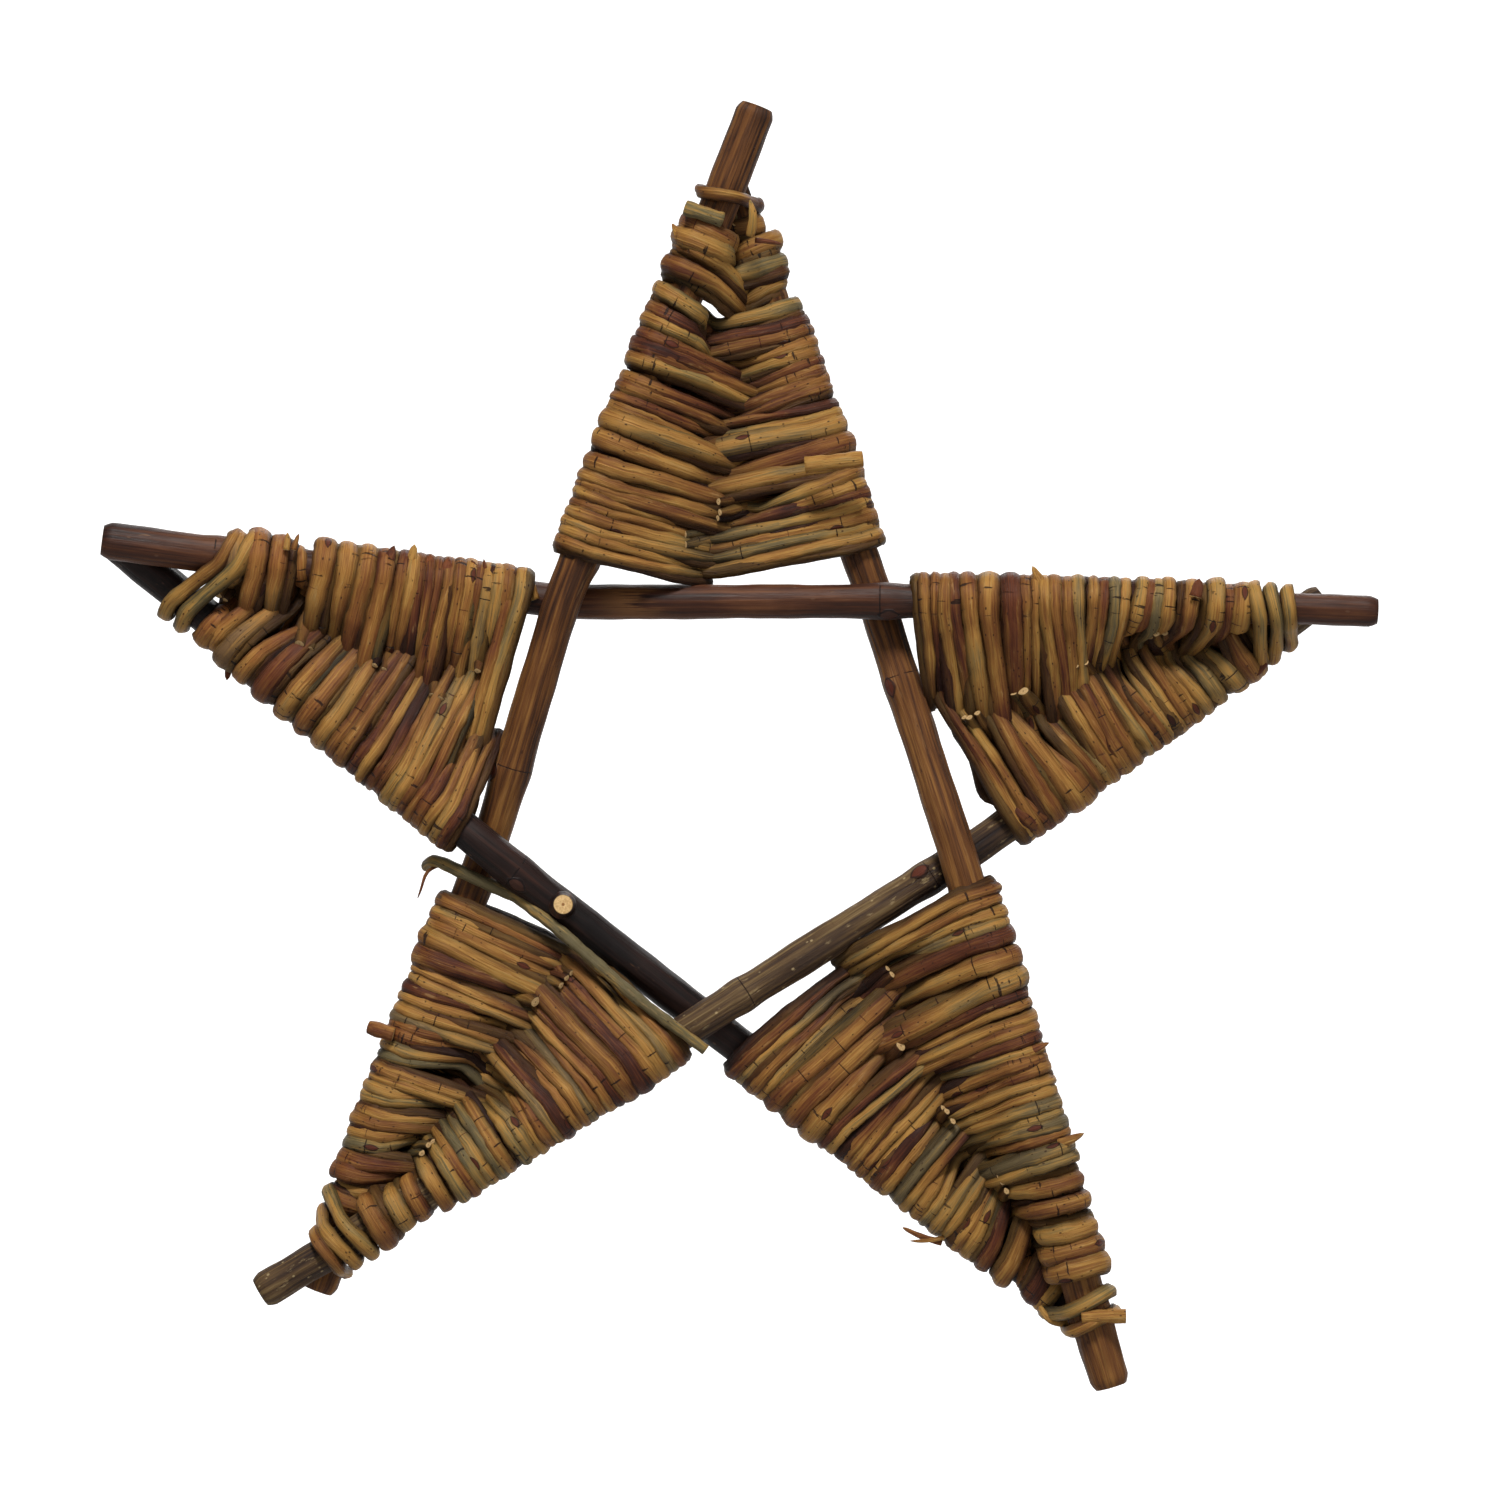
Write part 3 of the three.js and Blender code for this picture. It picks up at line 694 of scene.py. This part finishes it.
def armPath(arm, rng):
    # For half turn j the rod comes from crossing j in the middle, passes behind the stick,
    # round its outer side and back over its front to crossing j + 1. The straight parts
    # touch the circle of radius stick + rod, the round part follows it.
    tip, axis, tracks = armFrame(arm)
    turns = sum(arm["turns"])
    basePitch = 2 * (arm["rows"][1] - arm["rows"][0]) / turns - weave["tipPitch"]
    row = lambda c: (arm["rows"][0] + weave["tipPitch"] * c
                     + (basePitch - weave["tipPitch"]) * c * c / (2 * turns))
    halves = turns * 2
    j = np.arange(halves)
    rodOf = np.searchsorted(np.cumsum(arm["turns"]) * 2, j, side="right")
    rodR = np.array(arm["radii"])[rodOf]

    # 0.5 here is half: of the scatter, of the way from one stick to the other
    cross = row(np.arange(halves + 1) / 2) + rng.normal(0, weave["middleScatter"] * 0.5, halves + 1)
    left, _, _ = onStick(tracks[0], cross)
    right, _, _ = onStick(tracks[1], cross)
    shift = 0.5 + rng.normal(0, weave["middleShift"], (halves + 1, 1))
    middle = left * (1 - shift) + right * shift

    share = j / halves
    (firstTip, firstBase), (secondTip, secondBase) = arm["lead"]
    lead = np.where(j % 2 == 0, secondTip * (1 - share) + secondBase * share,
                    firstTip * (1 - share) + firstBase * share) * np.minimum(1, j / weave["leadFrom"])
    edge = np.maximum(row(j / 2 + 0.25) - lead, arm["rows"][0])
    edge = edge + rng.normal(0, weave["scatter"] * 0.5, halves)
    both = [onStick(track, edge) for track in tracks]
    even = (j % 2 == 0)[:, None]
    centre = np.where(even, both[1][0], both[0][0])
    run = np.where(even, both[1][1], both[0][1])
    stickR = np.where(even[:, 0], both[1][2], both[0][2])
    inTo = middle[:-1] - centre
    outTo = middle[1:] - centre
    inLean = dot(inTo, run)
    outLean = dot(outTo, run)
    inTo = inTo - run * inLean
    outTo = outTo - run * outLean
    inD = np.linalg.norm(inTo, axis=1)
    outD = np.linalg.norm(outTo, axis=1)
    nearest = np.minimum(inD, outD)
    reach = np.minimum(stickR + weave["air"] + rodR * weave["flattened"], weave["tightest"] * nearest)
    outward = -unit(unit(inTo) + unit(outTo))
    backward = unit(np.cross(run, outward))
    backward = backward * np.sign(backward[:, 1:2])
    turnOf = lambda v: np.arctan2(dot(v, backward)[:, 0], dot(v, outward)[:, 0])
    start = turnOf(inTo)
    end = turnOf(outTo)
    start = np.where(start < 0, start + fullTurn, start) - np.arccos(reach / inD)
    end = np.where(end > 0, end - fullTurn, end) + np.arccos(reach / outD)

    t = np.linspace(0, 1, weave["arcPoints"])
    angle = start[:, None] * (1 - t) + end[:, None] * t
    slope = np.where(angle > 0, (inLean[:, 0] / inD)[:, None], (outLean[:, 0] / outD)[:, None])
    slip = weave["slip"] * slope * reach[:, None] * np.sin(angle / 2) ** 2
    arc = (centre[:, None, :] + outward[:, None, :] * (np.cos(angle) * reach[:, None])[..., None]
           + backward[:, None, :] * (np.sin(angle) * reach[:, None])[..., None]
           + run[:, None, :] * slip[..., None])
    u = np.linspace(0, 1, weave["legPoints"])[None, :-1, None]
    bow = backwards * (rng.uniform(*weave["bow"], halves)[:, None, None] * np.sin(np.pi * u))
    legIn = middle[:-1, None, :] * (1 - u) + arc[:, :1, :] * u + bow
    legOut = (arc[:, -1:, :] * (1 - u) + middle[1:, None, :] * u)[:, 1:, :] - bow[:, 1:, :]
    whole = np.concatenate([legIn, arc, legOut], axis=1)
    beside = np.concatenate([np.broadcast_to(axis, legIn.shape), np.broadcast_to(run[:, None, :], arc.shape),
                             np.broadcast_to(axis, legOut.shape)], axis=1)
    bend = np.concatenate([np.zeros(legIn.shape[:2]), np.ones(arc.shape[:2]), np.zeros(legOut.shape[:2])],
                          axis=1)
    pinchIn = bell(np.linalg.norm(legIn - middle[:-1, None, :], axis=-1), weave["pinchReach"])
    pinchOut = bell(np.linalg.norm(legOut - middle[1:, None, :], axis=-1), weave["pinchReach"])
    pinch = np.concatenate([pinchIn, np.zeros(arc.shape[:2]), pinchOut], axis=1)
    return axis, tracks, whole, beside, np.stack([bend, pinch], axis=-1)


rodShape = {
    "step": 1.1, "sides": 16, "softening": 1.3, "bendSoftening": 1.5, "butt": 1.14, "tip": 0.84,
    "drift": ((61.0, 27.0), (0.26, 0.09)), "uneven": ((29.0, 11.0, 5.3), (0.05, 0.05, 0.03)),
    "sway": ((95.0, 41.0), (1.2, 0.4)), "crease": ((3.1, 4.7), (0.05, 0.05)),
    "toneDrift": ((230.0, 97.0, 31.0), (0.18, 0.12, 0.05)),
    "ridges": ((2, 0.09), (3, 0.11), (4, 0.06), (5, 0.06), (7, 0.04)),
    "nodeGap": (12, 30), "firstNode": (0.2, 0.8), "bareEnd": 4, "budTurn": 2.4,
    "swell": (0.16, 1.6),  # height and half length at a node
    "bud": (0.34, 1.5, 1.7, 0.5),  # height, place after the node, half length, half angle
    "pared": (0.42, 2.6),  # the share that the butt is pared thinner, and the length of that
    "wide": (1.04, 0.09), "deep": (0.84, -0.1),  # shares of the girth, and what a bend adds
    # shadeMiddle and shadeBeside: how much painted shade darkens a rod near the middle and on its sides
    "shadeMiddle": 0.6, "shadeBeside": 0.95, "barkStart": 500, "barkShift": 90,
}


def makeRod(name, node, p, beside, bend, radius, tone, rng, buttShare=rodShape["butt"],
            tipShare=rodShape["tip"], red=0.0, sides=rodShape["sides"], paintedShade=0.0):
    # a round stem whose girth falls from butt to tip, flattened where it bends,
    # with a small swelling and a bud scar at every node
    shape = rodShape
    s, p, beside, bend = evenSteps(p, shape["step"] * shape["sides"] / sides, beside, bend)
    p = softened(p, shape["softening"])
    bend, pinch = softened(bend, shape["bendSoftening"]).T
    p = p + np.stack([wander(s, rng, *shape["drift"]) for _ in range(3)], axis=1)
    angle = roundAngles(sides)
    girth = radius * (buttShare + (tipShare - buttShare) * s / s[-1])
    gaps = rng.uniform(*shape["nodeGap"], int(s[-1] / shape["nodeGap"][0]) + 2)
    places = np.cumsum(gaps) - gaps[0] * rng.uniform(*shape["firstNode"])
    places = places[places < s[-1] - shape["bareEnd"]]
    budAngles = (np.arange(len(places)) * shape["budTurn"] + rng.uniform(0, fullTurn)) % fullTurn
    height, halfLength = shape["swell"]
    swell = np.sum(height * bell(s[:, None] - places[None, :], halfLength), axis=1)
    uneven = wander(s, rng, *shape["uneven"])
    ridges = sum(np.cos(n * angle[None, :] + wander(s, rng, *shape["sway"])[:, None]) * amount
                 for n, amount in shape["ridges"])
    bumps = budBumps(s, angle, places, budAngles, shape["bud"])
    creases = bend * wander(s, rng, *shape["crease"])
    common = (girth + swell + uneven + creases)[:, None] + ridges + bumps
    paredBy, paredOver = shape["pared"]
    common = common * (1 - paredBy * bell(s, paredOver))[:, None] * (1 - weave["pinch"] * pinch)[:, None]
    wideReach = common * (shape["wide"][0] + shape["wide"][1] * bend)[:, None]
    deepReach = common * (shape["deep"][0] + shape["deep"][1] * bend)[:, None]
    grid, index, draw, cut, angle = stemGrid(p, beside, wideReach, deepReach, sides)
    # painted shade: the given amount all over, more where the rod dives under others near the middle, and on
    # the sides that face its neighbours
    besides = np.abs(np.cos(angle[None, :])) ** 3
    shade = np.clip(paintedShade + shape["shadeMiddle"] * pinch[:, None] + shape["shadeBeside"] * besides, 0, 1)
    tones = tone + wander(s, rng, *shape["toneDrift"])
    start = rng.uniform(0, shape["barkStart"])
    shift = rng.uniform(-shape["barkShift"], shape["barkShift"])
    facts = barkFacts(index, draw, cut, angle, s + start, girth, tones, bend, shift, places, budAngles,
                      red, shade)
    makePiece(name, grid, facts, "rod", (node,) if node else ())


ringShape = {
    "points": 60, "turn": 0.93, "measuredAt": 20.0, "bend": 0.3, "butt": 1.0, "tip": 0.95,
}


def ringPath(axis, tracks, s0, rise, lead, radius):
    # one turn round both sticks, rising along the arm: at each angle the outermost point
    # of either stick's circle; lead is how far it sits further in on the first and second stick
    t = np.linspace(0, 1, ringShape["points"])
    angle = t * fullTurn * ringShape["turn"] + math.pi / 2
    s = s0 - rise / 4 + rise * t
    pa, _, ra = onStick(tracks[0], s + lead[0])
    pb, _, rb = onStick(tracks[1], s + lead[1])
    far = np.array([ringShape["measuredAt"]])
    across = unit((onStick(tracks[1], far)[0] - onStick(tracks[0], far)[0]) * np.array([1, 0, 1]))
    away = across * np.cos(angle)[:, None] + backwards * np.sin(angle)[:, None]
    reachA = dot(pa, away)[:, 0] + ra
    reachB = dot(pb, away)[:, 0] + rb
    onFirst = (reachA > reachB)[:, None]
    return np.where(onFirst, pa + away * (ra + radius)[:, None], pb + away * (rb + radius)[:, None])


# how a rod begins and ends: (along the rod, to the front or back) for two points at either end
rodEnds = {
    "butt": ((5.2, 2.3), (2.8, 1.1)), "buttInward": 0.5,
    "tuck": ((2.2, 1.2), (4.5, 2.6)), "tuckOutward": 0.4, "firstBehind": 0.6,
}
strands = {"apart": 0.52, "girth": 0.62, "tone": (-0.22, 0.28), "red": (0, 0.25)}
furrows = {
    "depth": 0.84, "radius": 1.5, "shift": 2.6, "butt": 1.05, "tip": 0.95, "sides": 10,
    # the last number is how much painted shade darkens the furrow strands all over
    "tone": (0.25, 0.7), "red": (0, 0.3), "paintedShade": 0.8,
}


for armName, arm in arms.items():
    rng = np.random.default_rng(arm["seed"])
    axis, tracks, whole, beside, bend = armPath(arm, rng)
    first = 0
    for n, turns in enumerate(arm["turns"]):
        last = first + turns * 2
        p = whole[first:last].reshape(-1, 3)
        side = beside[first:last].reshape(-1, 3)
        bent = bend[first:last].reshape(-1, 2)
        # the butt comes out in front beside the row before and the thin end is tucked in
        # behind; the ends of the first rod lie the other way round
        into = unit(p[3] - p[0])
        away = unit(p[-1] - p[-4])
        front = np.array([0.0, -1.0 if n else rodEnds["firstBehind"], 0.0])
        butt = np.stack([p[0] - into * a + front * b for a, b in rodEnds["butt"]])
        butt = butt + axis * rodEnds["buttInward"]
        tuck = np.stack([p[-1] + away * a - front * b for a, b in rodEnds["tuck"]])
        tuck = tuck - axis * rodEnds["tuckOutward"]
        p = np.concatenate([butt, p, tuck])
        side = np.concatenate([side[:1], side[:1], side, side[-1:], side[-1:]])
        bent = np.concatenate([bent[:1], bent[:1], bent, bent[-1:], bent[-1:]])
        node = f"rod_{armName}_{n + 1}"
        radius = arm["radii"][n]
        if n + 1 in arm["double"]:
            # two thin strands side by side, half a strand either way along the arm
            for mark, way in (("a", -1), ("b", 1)):
                shift = side * (way * strands["apart"] * radius)
                tone = arm["tones"][n] + rng.uniform(*strands["tone"])
                makeRod(f"{node}_{mark}", node, p + shift, side, bent, radius * strands["girth"], tone, rng,
                        red=rng.uniform(*strands["red"]))
        else:
            makeRod(f"{node}_whole", node, p, side, bent, radius, arm["tones"][n], rng, red=arm["reds"][n])
        # a thin strand laid in the furrow between this rod's turns, nearer to the sticks, darkened all over
        # by painted shade so that the gap reads dark
        furrow = p * np.array([1.0, furrows["depth"], 1.0]) + side * furrows["shift"]
        tone = rng.uniform(*furrows["tone"])
        red = rng.uniform(*furrows["red"])
        makeRod(f"{node}_furrow", node, furrow, side, bent, furrows["radius"], tone, rng,
                furrows["butt"], furrows["tip"], red, furrows["sides"], furrows["paintedShade"])
        first = last
    for name, s0, rise, lead, radius, tone in arm["rings"]:
        ring = ringPath(axis, tracks, s0, rise, lead, radius)
        node = name if name.startswith("tie") else None
        makeRod(f"{name}_turn", node, ring, np.broadcast_to(axis, ring.shape),
                np.tile([ringShape["bend"], 0.0], (len(ring), 1)), radius, tone, rng,
                ringShape["butt"], ringShape["tip"])
    print("arm woven:", armName)

# buds, flakes and loose ends
frontView = {"middle": 723, "top": 618.9, "scale": 4}  # scale: to a millimetre


def inFrame(points):
    # points of the front view (right and down from its corner, depth) in the part's millimetres
    right, down, depth = np.array(points, float).T
    return np.stack([(right - frontView["middle"]) / frontView["scale"], depth,
                     (frontView["top"] - down) / frontView["scale"]], axis=1)


# points of the front view from the foot to the end, half the width at the foot, the share of it left at
# the end (0 a point, 1 a cut end), tone, how red
looseBits = {
    "flake_top_left": ([(684, 251, -9), (679, 238, -9), (673, 227, -9)], 1.2, 0.1, 0.6, 0.1),
    "end_top_left": ([(722, 224, -12), (706, 219, -13.5), (686, 212, -12.5)], 1.9, 1, 0.95, 0),
    "spike_top_right": ([(755, 243, -9), (768, 244, -9), (782, 247, -9)], 0.7, 0, 0.12, 0.5),
    "peel_top": ([(750, 240, -12), (755, 222, -14), (750, 205, -13)], 1.2, 0.2, 0.6, 0),
    "end_top_right": ([(805, 467, -11), (835, 464, -12), (862, 461, -11.5)], 2.0, 1, 0.6, 0.1),
    "bud_left_1": ([(388, 566, -4), (391, 556, -4), (395, 546, -3)], 1.5, 0, 0.02, 0.3),
    "bud_left_2": ([(411, 566, -3), (413, 556, -3), (415, 545, -2)], 1.4, 0, 0.6, 0),
    "bud_left_3": ([(430, 572, -3), (430.5, 563, -3), (431, 554, -2)], 1.5, 0, 0.12, 0.7),
    "bud_left_4": ([(447, 576, -3), (448.5, 566, -3), (449, 557, -2)], 1.5, 0, 0.12, 0.7),
    "bud_left_5": ([(477, 577, -1), (475, 569, -1), (472, 560, -1)], 1.4, 0, 0.05, 0.2),
    "bud_left_6": ([(486, 577, -1), (485, 569, -1), (484, 559, -1)], 0.7, 0, 0.15, 0.3),
    "bud_left_7": ([(514, 591, 0), (513, 583, 0), (512, 574, 0)], 0.9, 0, 0.1, 0.5),
    "bud_left_8": ([(534, 600, 0), (530, 587, 0), (525, 571, 0)], 1.6, 0, 0.62, 0),
    "spike_left_low": ([(230, 662, 2), (227, 671, 2), (226, 680, 2)], 1.1, 0, 0.08, 0.6),
    "torn_left_1": ([(289, 551, -9), (291, 542, -9), (290, 534, -8)], 0.9, 0.1, 0.6, 0),
    "torn_left_2": ([(296, 551, -9), (298, 542, -9), (301, 535, -8)], 0.8, 0, 0.4, 0),
    "bud_right_1": ([(1043, 593, -9), (1037, 580, -9), (1031, 567, -8)], 1.6, 0, 0.55, 0),
    "bud_right_2": ([(1192, 598, -13), (1195, 589, -13), (1196, 580, -12)], 1.7, 0, 0.06, 0.6),
    "bud_right_3": ([(1263, 662, 0), (1260, 669, 0), (1257, 676, 0)], 1.4, 0, 0.08, 0.4),
    "fibre_low_left": ([(437, 866, 0), (424, 870, -1), (424, 884, -2), (418, 898, -1)],
                       0.45, 0.3, 0.25, 0.1),
    "end_low_left": ([(394, 1034, -2), (380, 1030, -2), (369, 1027, -1)], 1.9, 0.9, 0.35, 0.2),
    "last_low_left": ([(426, 866, 4), (433, 858, -1.5), (470, 876, -2), (520, 898, -3), (565, 934, -6),
                      (635, 995, -10.5), (706, 1048, -11.5)], 1.6, 0.8, 1.0, 0),
    "shred_low_right_1": ([(942, 1243, 2), (922, 1238, 1), (903, 1228, 1)], 0.9, 0.1, 0.3, 0.2),
    "shred_low_right_2": ([(944, 1238, 1), (925, 1242, 0), (909, 1241, 0)], 0.6, 0, 0.5, 0),
    "shred_low_right_3": ([(1056, 1141, -11), (1070, 1137, -11), (1082, 1131, -10)], 1.2, 0, 0.5, 0),
    "shred_low_right_4": ([(1026, 1050, -11), (1038, 1045, -11), (1047, 1041, -10)], 1.0, 0, 0.3, 0.3),
    "end_low_right": ([(1080, 1314, -11), (1104, 1312, -12), (1123, 1312, -12)], 1.8, 1, 0.6, 0.1),
    "loop_low_right": ([(1075, 1322, -2), (1058, 1324, -3), (1044, 1317, -2), (1040, 1307, 0)],
                       1.1, 0.5, 0.55, 0),
}
bits = {
    "step": 0.8, "softening": 3.0, "sides": 12, "cutFrom": 0.3, "roundness": 0.85, "flatness": 0.45,
    "taper": 1.6, "thinnest": 0.002, "uneven": ((11.0, 4.3), (0.05, 0.04)),
    "barkStart": 17.0, "barkShift": 50, "seed": 77,
}
rng = np.random.default_rng(bits["seed"])
for name, (points, width, blunt, tone, red) in looseBits.items():
    knots = inFrame(points)
    s, p = evenSteps(knots, bits["step"])
    p = softened(p, bits["softening"])
    t = s / s[-1]
    isCut = blunt > bits["cutFrom"]
    flatness = bits["roundness"] if isCut else bits["flatness"]
    taper = blunt + (1 - blunt) * np.sqrt(np.clip(1 - t ** bits["taper"], bits["thinnest"], 1))
    girth = width * (taper + wander(s, rng, *bits["uneven"]))
    beside = np.cross(unit(knots[-1] - knots[0]), backwards)
    grid, index, draw, cut, angle = stemGrid(p, np.broadcast_to(beside, p.shape), girth, girth * flatness,
                                             bits["sides"])
    if blunt < bits["cutFrom"]:
        cut[-endRings:] = 0
    shift = rng.uniform(-bits["barkShift"], bits["barkShift"])
    facts = barkFacts(index, draw, cut, angle, s + bits["barkStart"], girth, np.full(len(s), tone),
                      np.zeros(len(s)), shift, red=red)
    makePiece(name, grid, facts, "rod")
print("loose ends ready")

# floor, light and camera, in metres
stage = {
    "radius": 4.2, "floor": -1.3, "wallStart": 2.6, "wallHeight": 5.0, "rows": 60, "sides": 96,
    "floorShare": 0.4, "hub": 0.001, "paper": 0.62, "rough": 0.9,
    "glowFrom": (1.6, 2.8), "glowWide": (2.6, 1.6), "glow": 0.95, "glowLeast": 0.02,
    "seenGlow": 0.97, "seenShare": 0.45, "air": (0.95, 0.97, 1.0, 1), "airLight": 0.08,
}
# place, target, size, power, tint
lights = {
    "keyLight": ((-0.1, -1.35, 1.85), (0.01, 0, -0.05), 0.5, 60, (1.0, 0.985, 0.95)),
    "fillLight": ((1.5, -1.5, 0.6), (0, 0, -0.03), 1.0, 5, (1, 1, 1)),
    "backLight": ((0.5, 1.8, 1.4), (0, 0, -0.03), 1.0, 14, (1, 1, 1)),
}
view = {"distance": 1.6, "width": 0.375, "middle": (0.00675, -0.0328), "sensor": 36, "clipEnd": 50}

# a flat floor that curves up into a round wall
t = np.linspace(0, 1, stage["rows"])
bend = np.clip((t - stage["floorShare"]) / (1 - stage["floorShare"]), 0, 1)
wall = stage["wallStart"] + (stage["radius"] - stage["wallStart"]) * np.sin(bend * math.pi / 2)
radius = np.where(t < stage["floorShare"], t / stage["floorShare"] * stage["wallStart"], wall)
height = stage["floor"] + stage["wallHeight"] * (1 - np.cos(bend * math.pi / 2))
radius[0] = stage["hub"]
around = roundAngles(stage["sides"])
bowl = np.stack([radius[:, None] * np.cos(around), radius[:, None] * np.sin(around),
                 np.broadcast_to(height[:, None], (len(t), len(around)))], axis=-1)
inward = [0, 3, 2, 1]  # the order of a cell's corners that faces the inside
faces = gridQuads(len(t), len(around))[:, inward].tolist()
faces.append(list(range(len(around))))
mesh = newMesh("paperBowl", bowl, faces)
paper, tree, skin = newMaterial("glowingWhitePaper")
skin.inputs["Base Color"].default_value = (stage["paper"], stage["paper"], stage["paper"], 1)
skin.inputs["Roughness"].default_value = stage["rough"]
skin.inputs["Emission Color"].default_value = (1, 1, 1, 1)
# painted glow: the wall behind the star glows white and lights it from behind, the side behind the camera
# hardly at all
where = tree.nodes.new("ShaderNodeTexCoord")
parts = tree.nodes.new("ShaderNodeSeparateXYZ")
tree.links.new(where.outputs["Object"], parts.inputs["Vector"])
behind = step(tree, parts.outputs["Y"], *stage["glowFrom"])
within = step(tree, sums(tree, "ABSOLUTE", parts.outputs["X"]), *stage["glowWide"])
glow = times(tree, times(tree, behind, within), stage["glow"])
glow = plus(tree, glow, stage["glowLeast"])
# painted glow that only camera rays see, so that the paper looks pale on every side: glow + seen * seenShare
# * (seenGlow - glow)
ray = tree.nodes.new("ShaderNodeLightPath")
lack = sums(tree, "SUBTRACT", stage["seenGlow"], glow)
lack = times(tree, lack, times(tree, ray.outputs["Is Camera Ray"], stage["seenShare"]))
tree.links.new(plus(tree, glow, lack), skin.inputs["Emission Strength"])
mesh.materials.append(paper)
floor = bpy.data.objects.new("paperBowl", mesh)
scene.collection.objects.link(floor)

world = bpy.data.worlds.new("paleRoom")
scene.world = world
world.use_nodes = True
world.node_tree.nodes["Background"].inputs["Color"].default_value = stage["air"]
world.node_tree.nodes["Background"].inputs["Strength"].default_value = stage["airLight"]

for name, (place, target, size, power, tint) in lights.items():
    # a square lamp, yawed and pitched so that it faces its target
    data = bpy.data.lights.new(name, "AREA")
    data.shape = "SQUARE"
    data.size = size
    data.energy = power
    data.color = tint
    lampObject = bpy.data.objects.new(name, data)
    scene.collection.objects.link(lampObject)
    x, y, z = np.array(target) - np.array(place)
    pitch = math.atan2(z, math.hypot(x, y)) + math.pi / 2
    lampObject.location = place
    lampObject.rotation_euler = (pitch, 0, math.atan2(y, x) - math.pi / 2)

cameraData = bpy.data.cameras.new("frontCamera")
cameraData.sensor_width = view["sensor"]
cameraData.lens = view["sensor"] * view["distance"] / view["width"]
cameraData.clip_end = view["clipEnd"]
camera = bpy.data.objects.new("frontCamera", cameraData)
scene.collection.objects.link(camera)
camera.location = (view["middle"][0], -view["distance"], view["middle"][1])
camera.rotation_euler = (math.pi / 2, 0, 0)
bpy.context.scene.camera = camera
scene.view_settings.view_transform = "Standard"
print("stage ready")
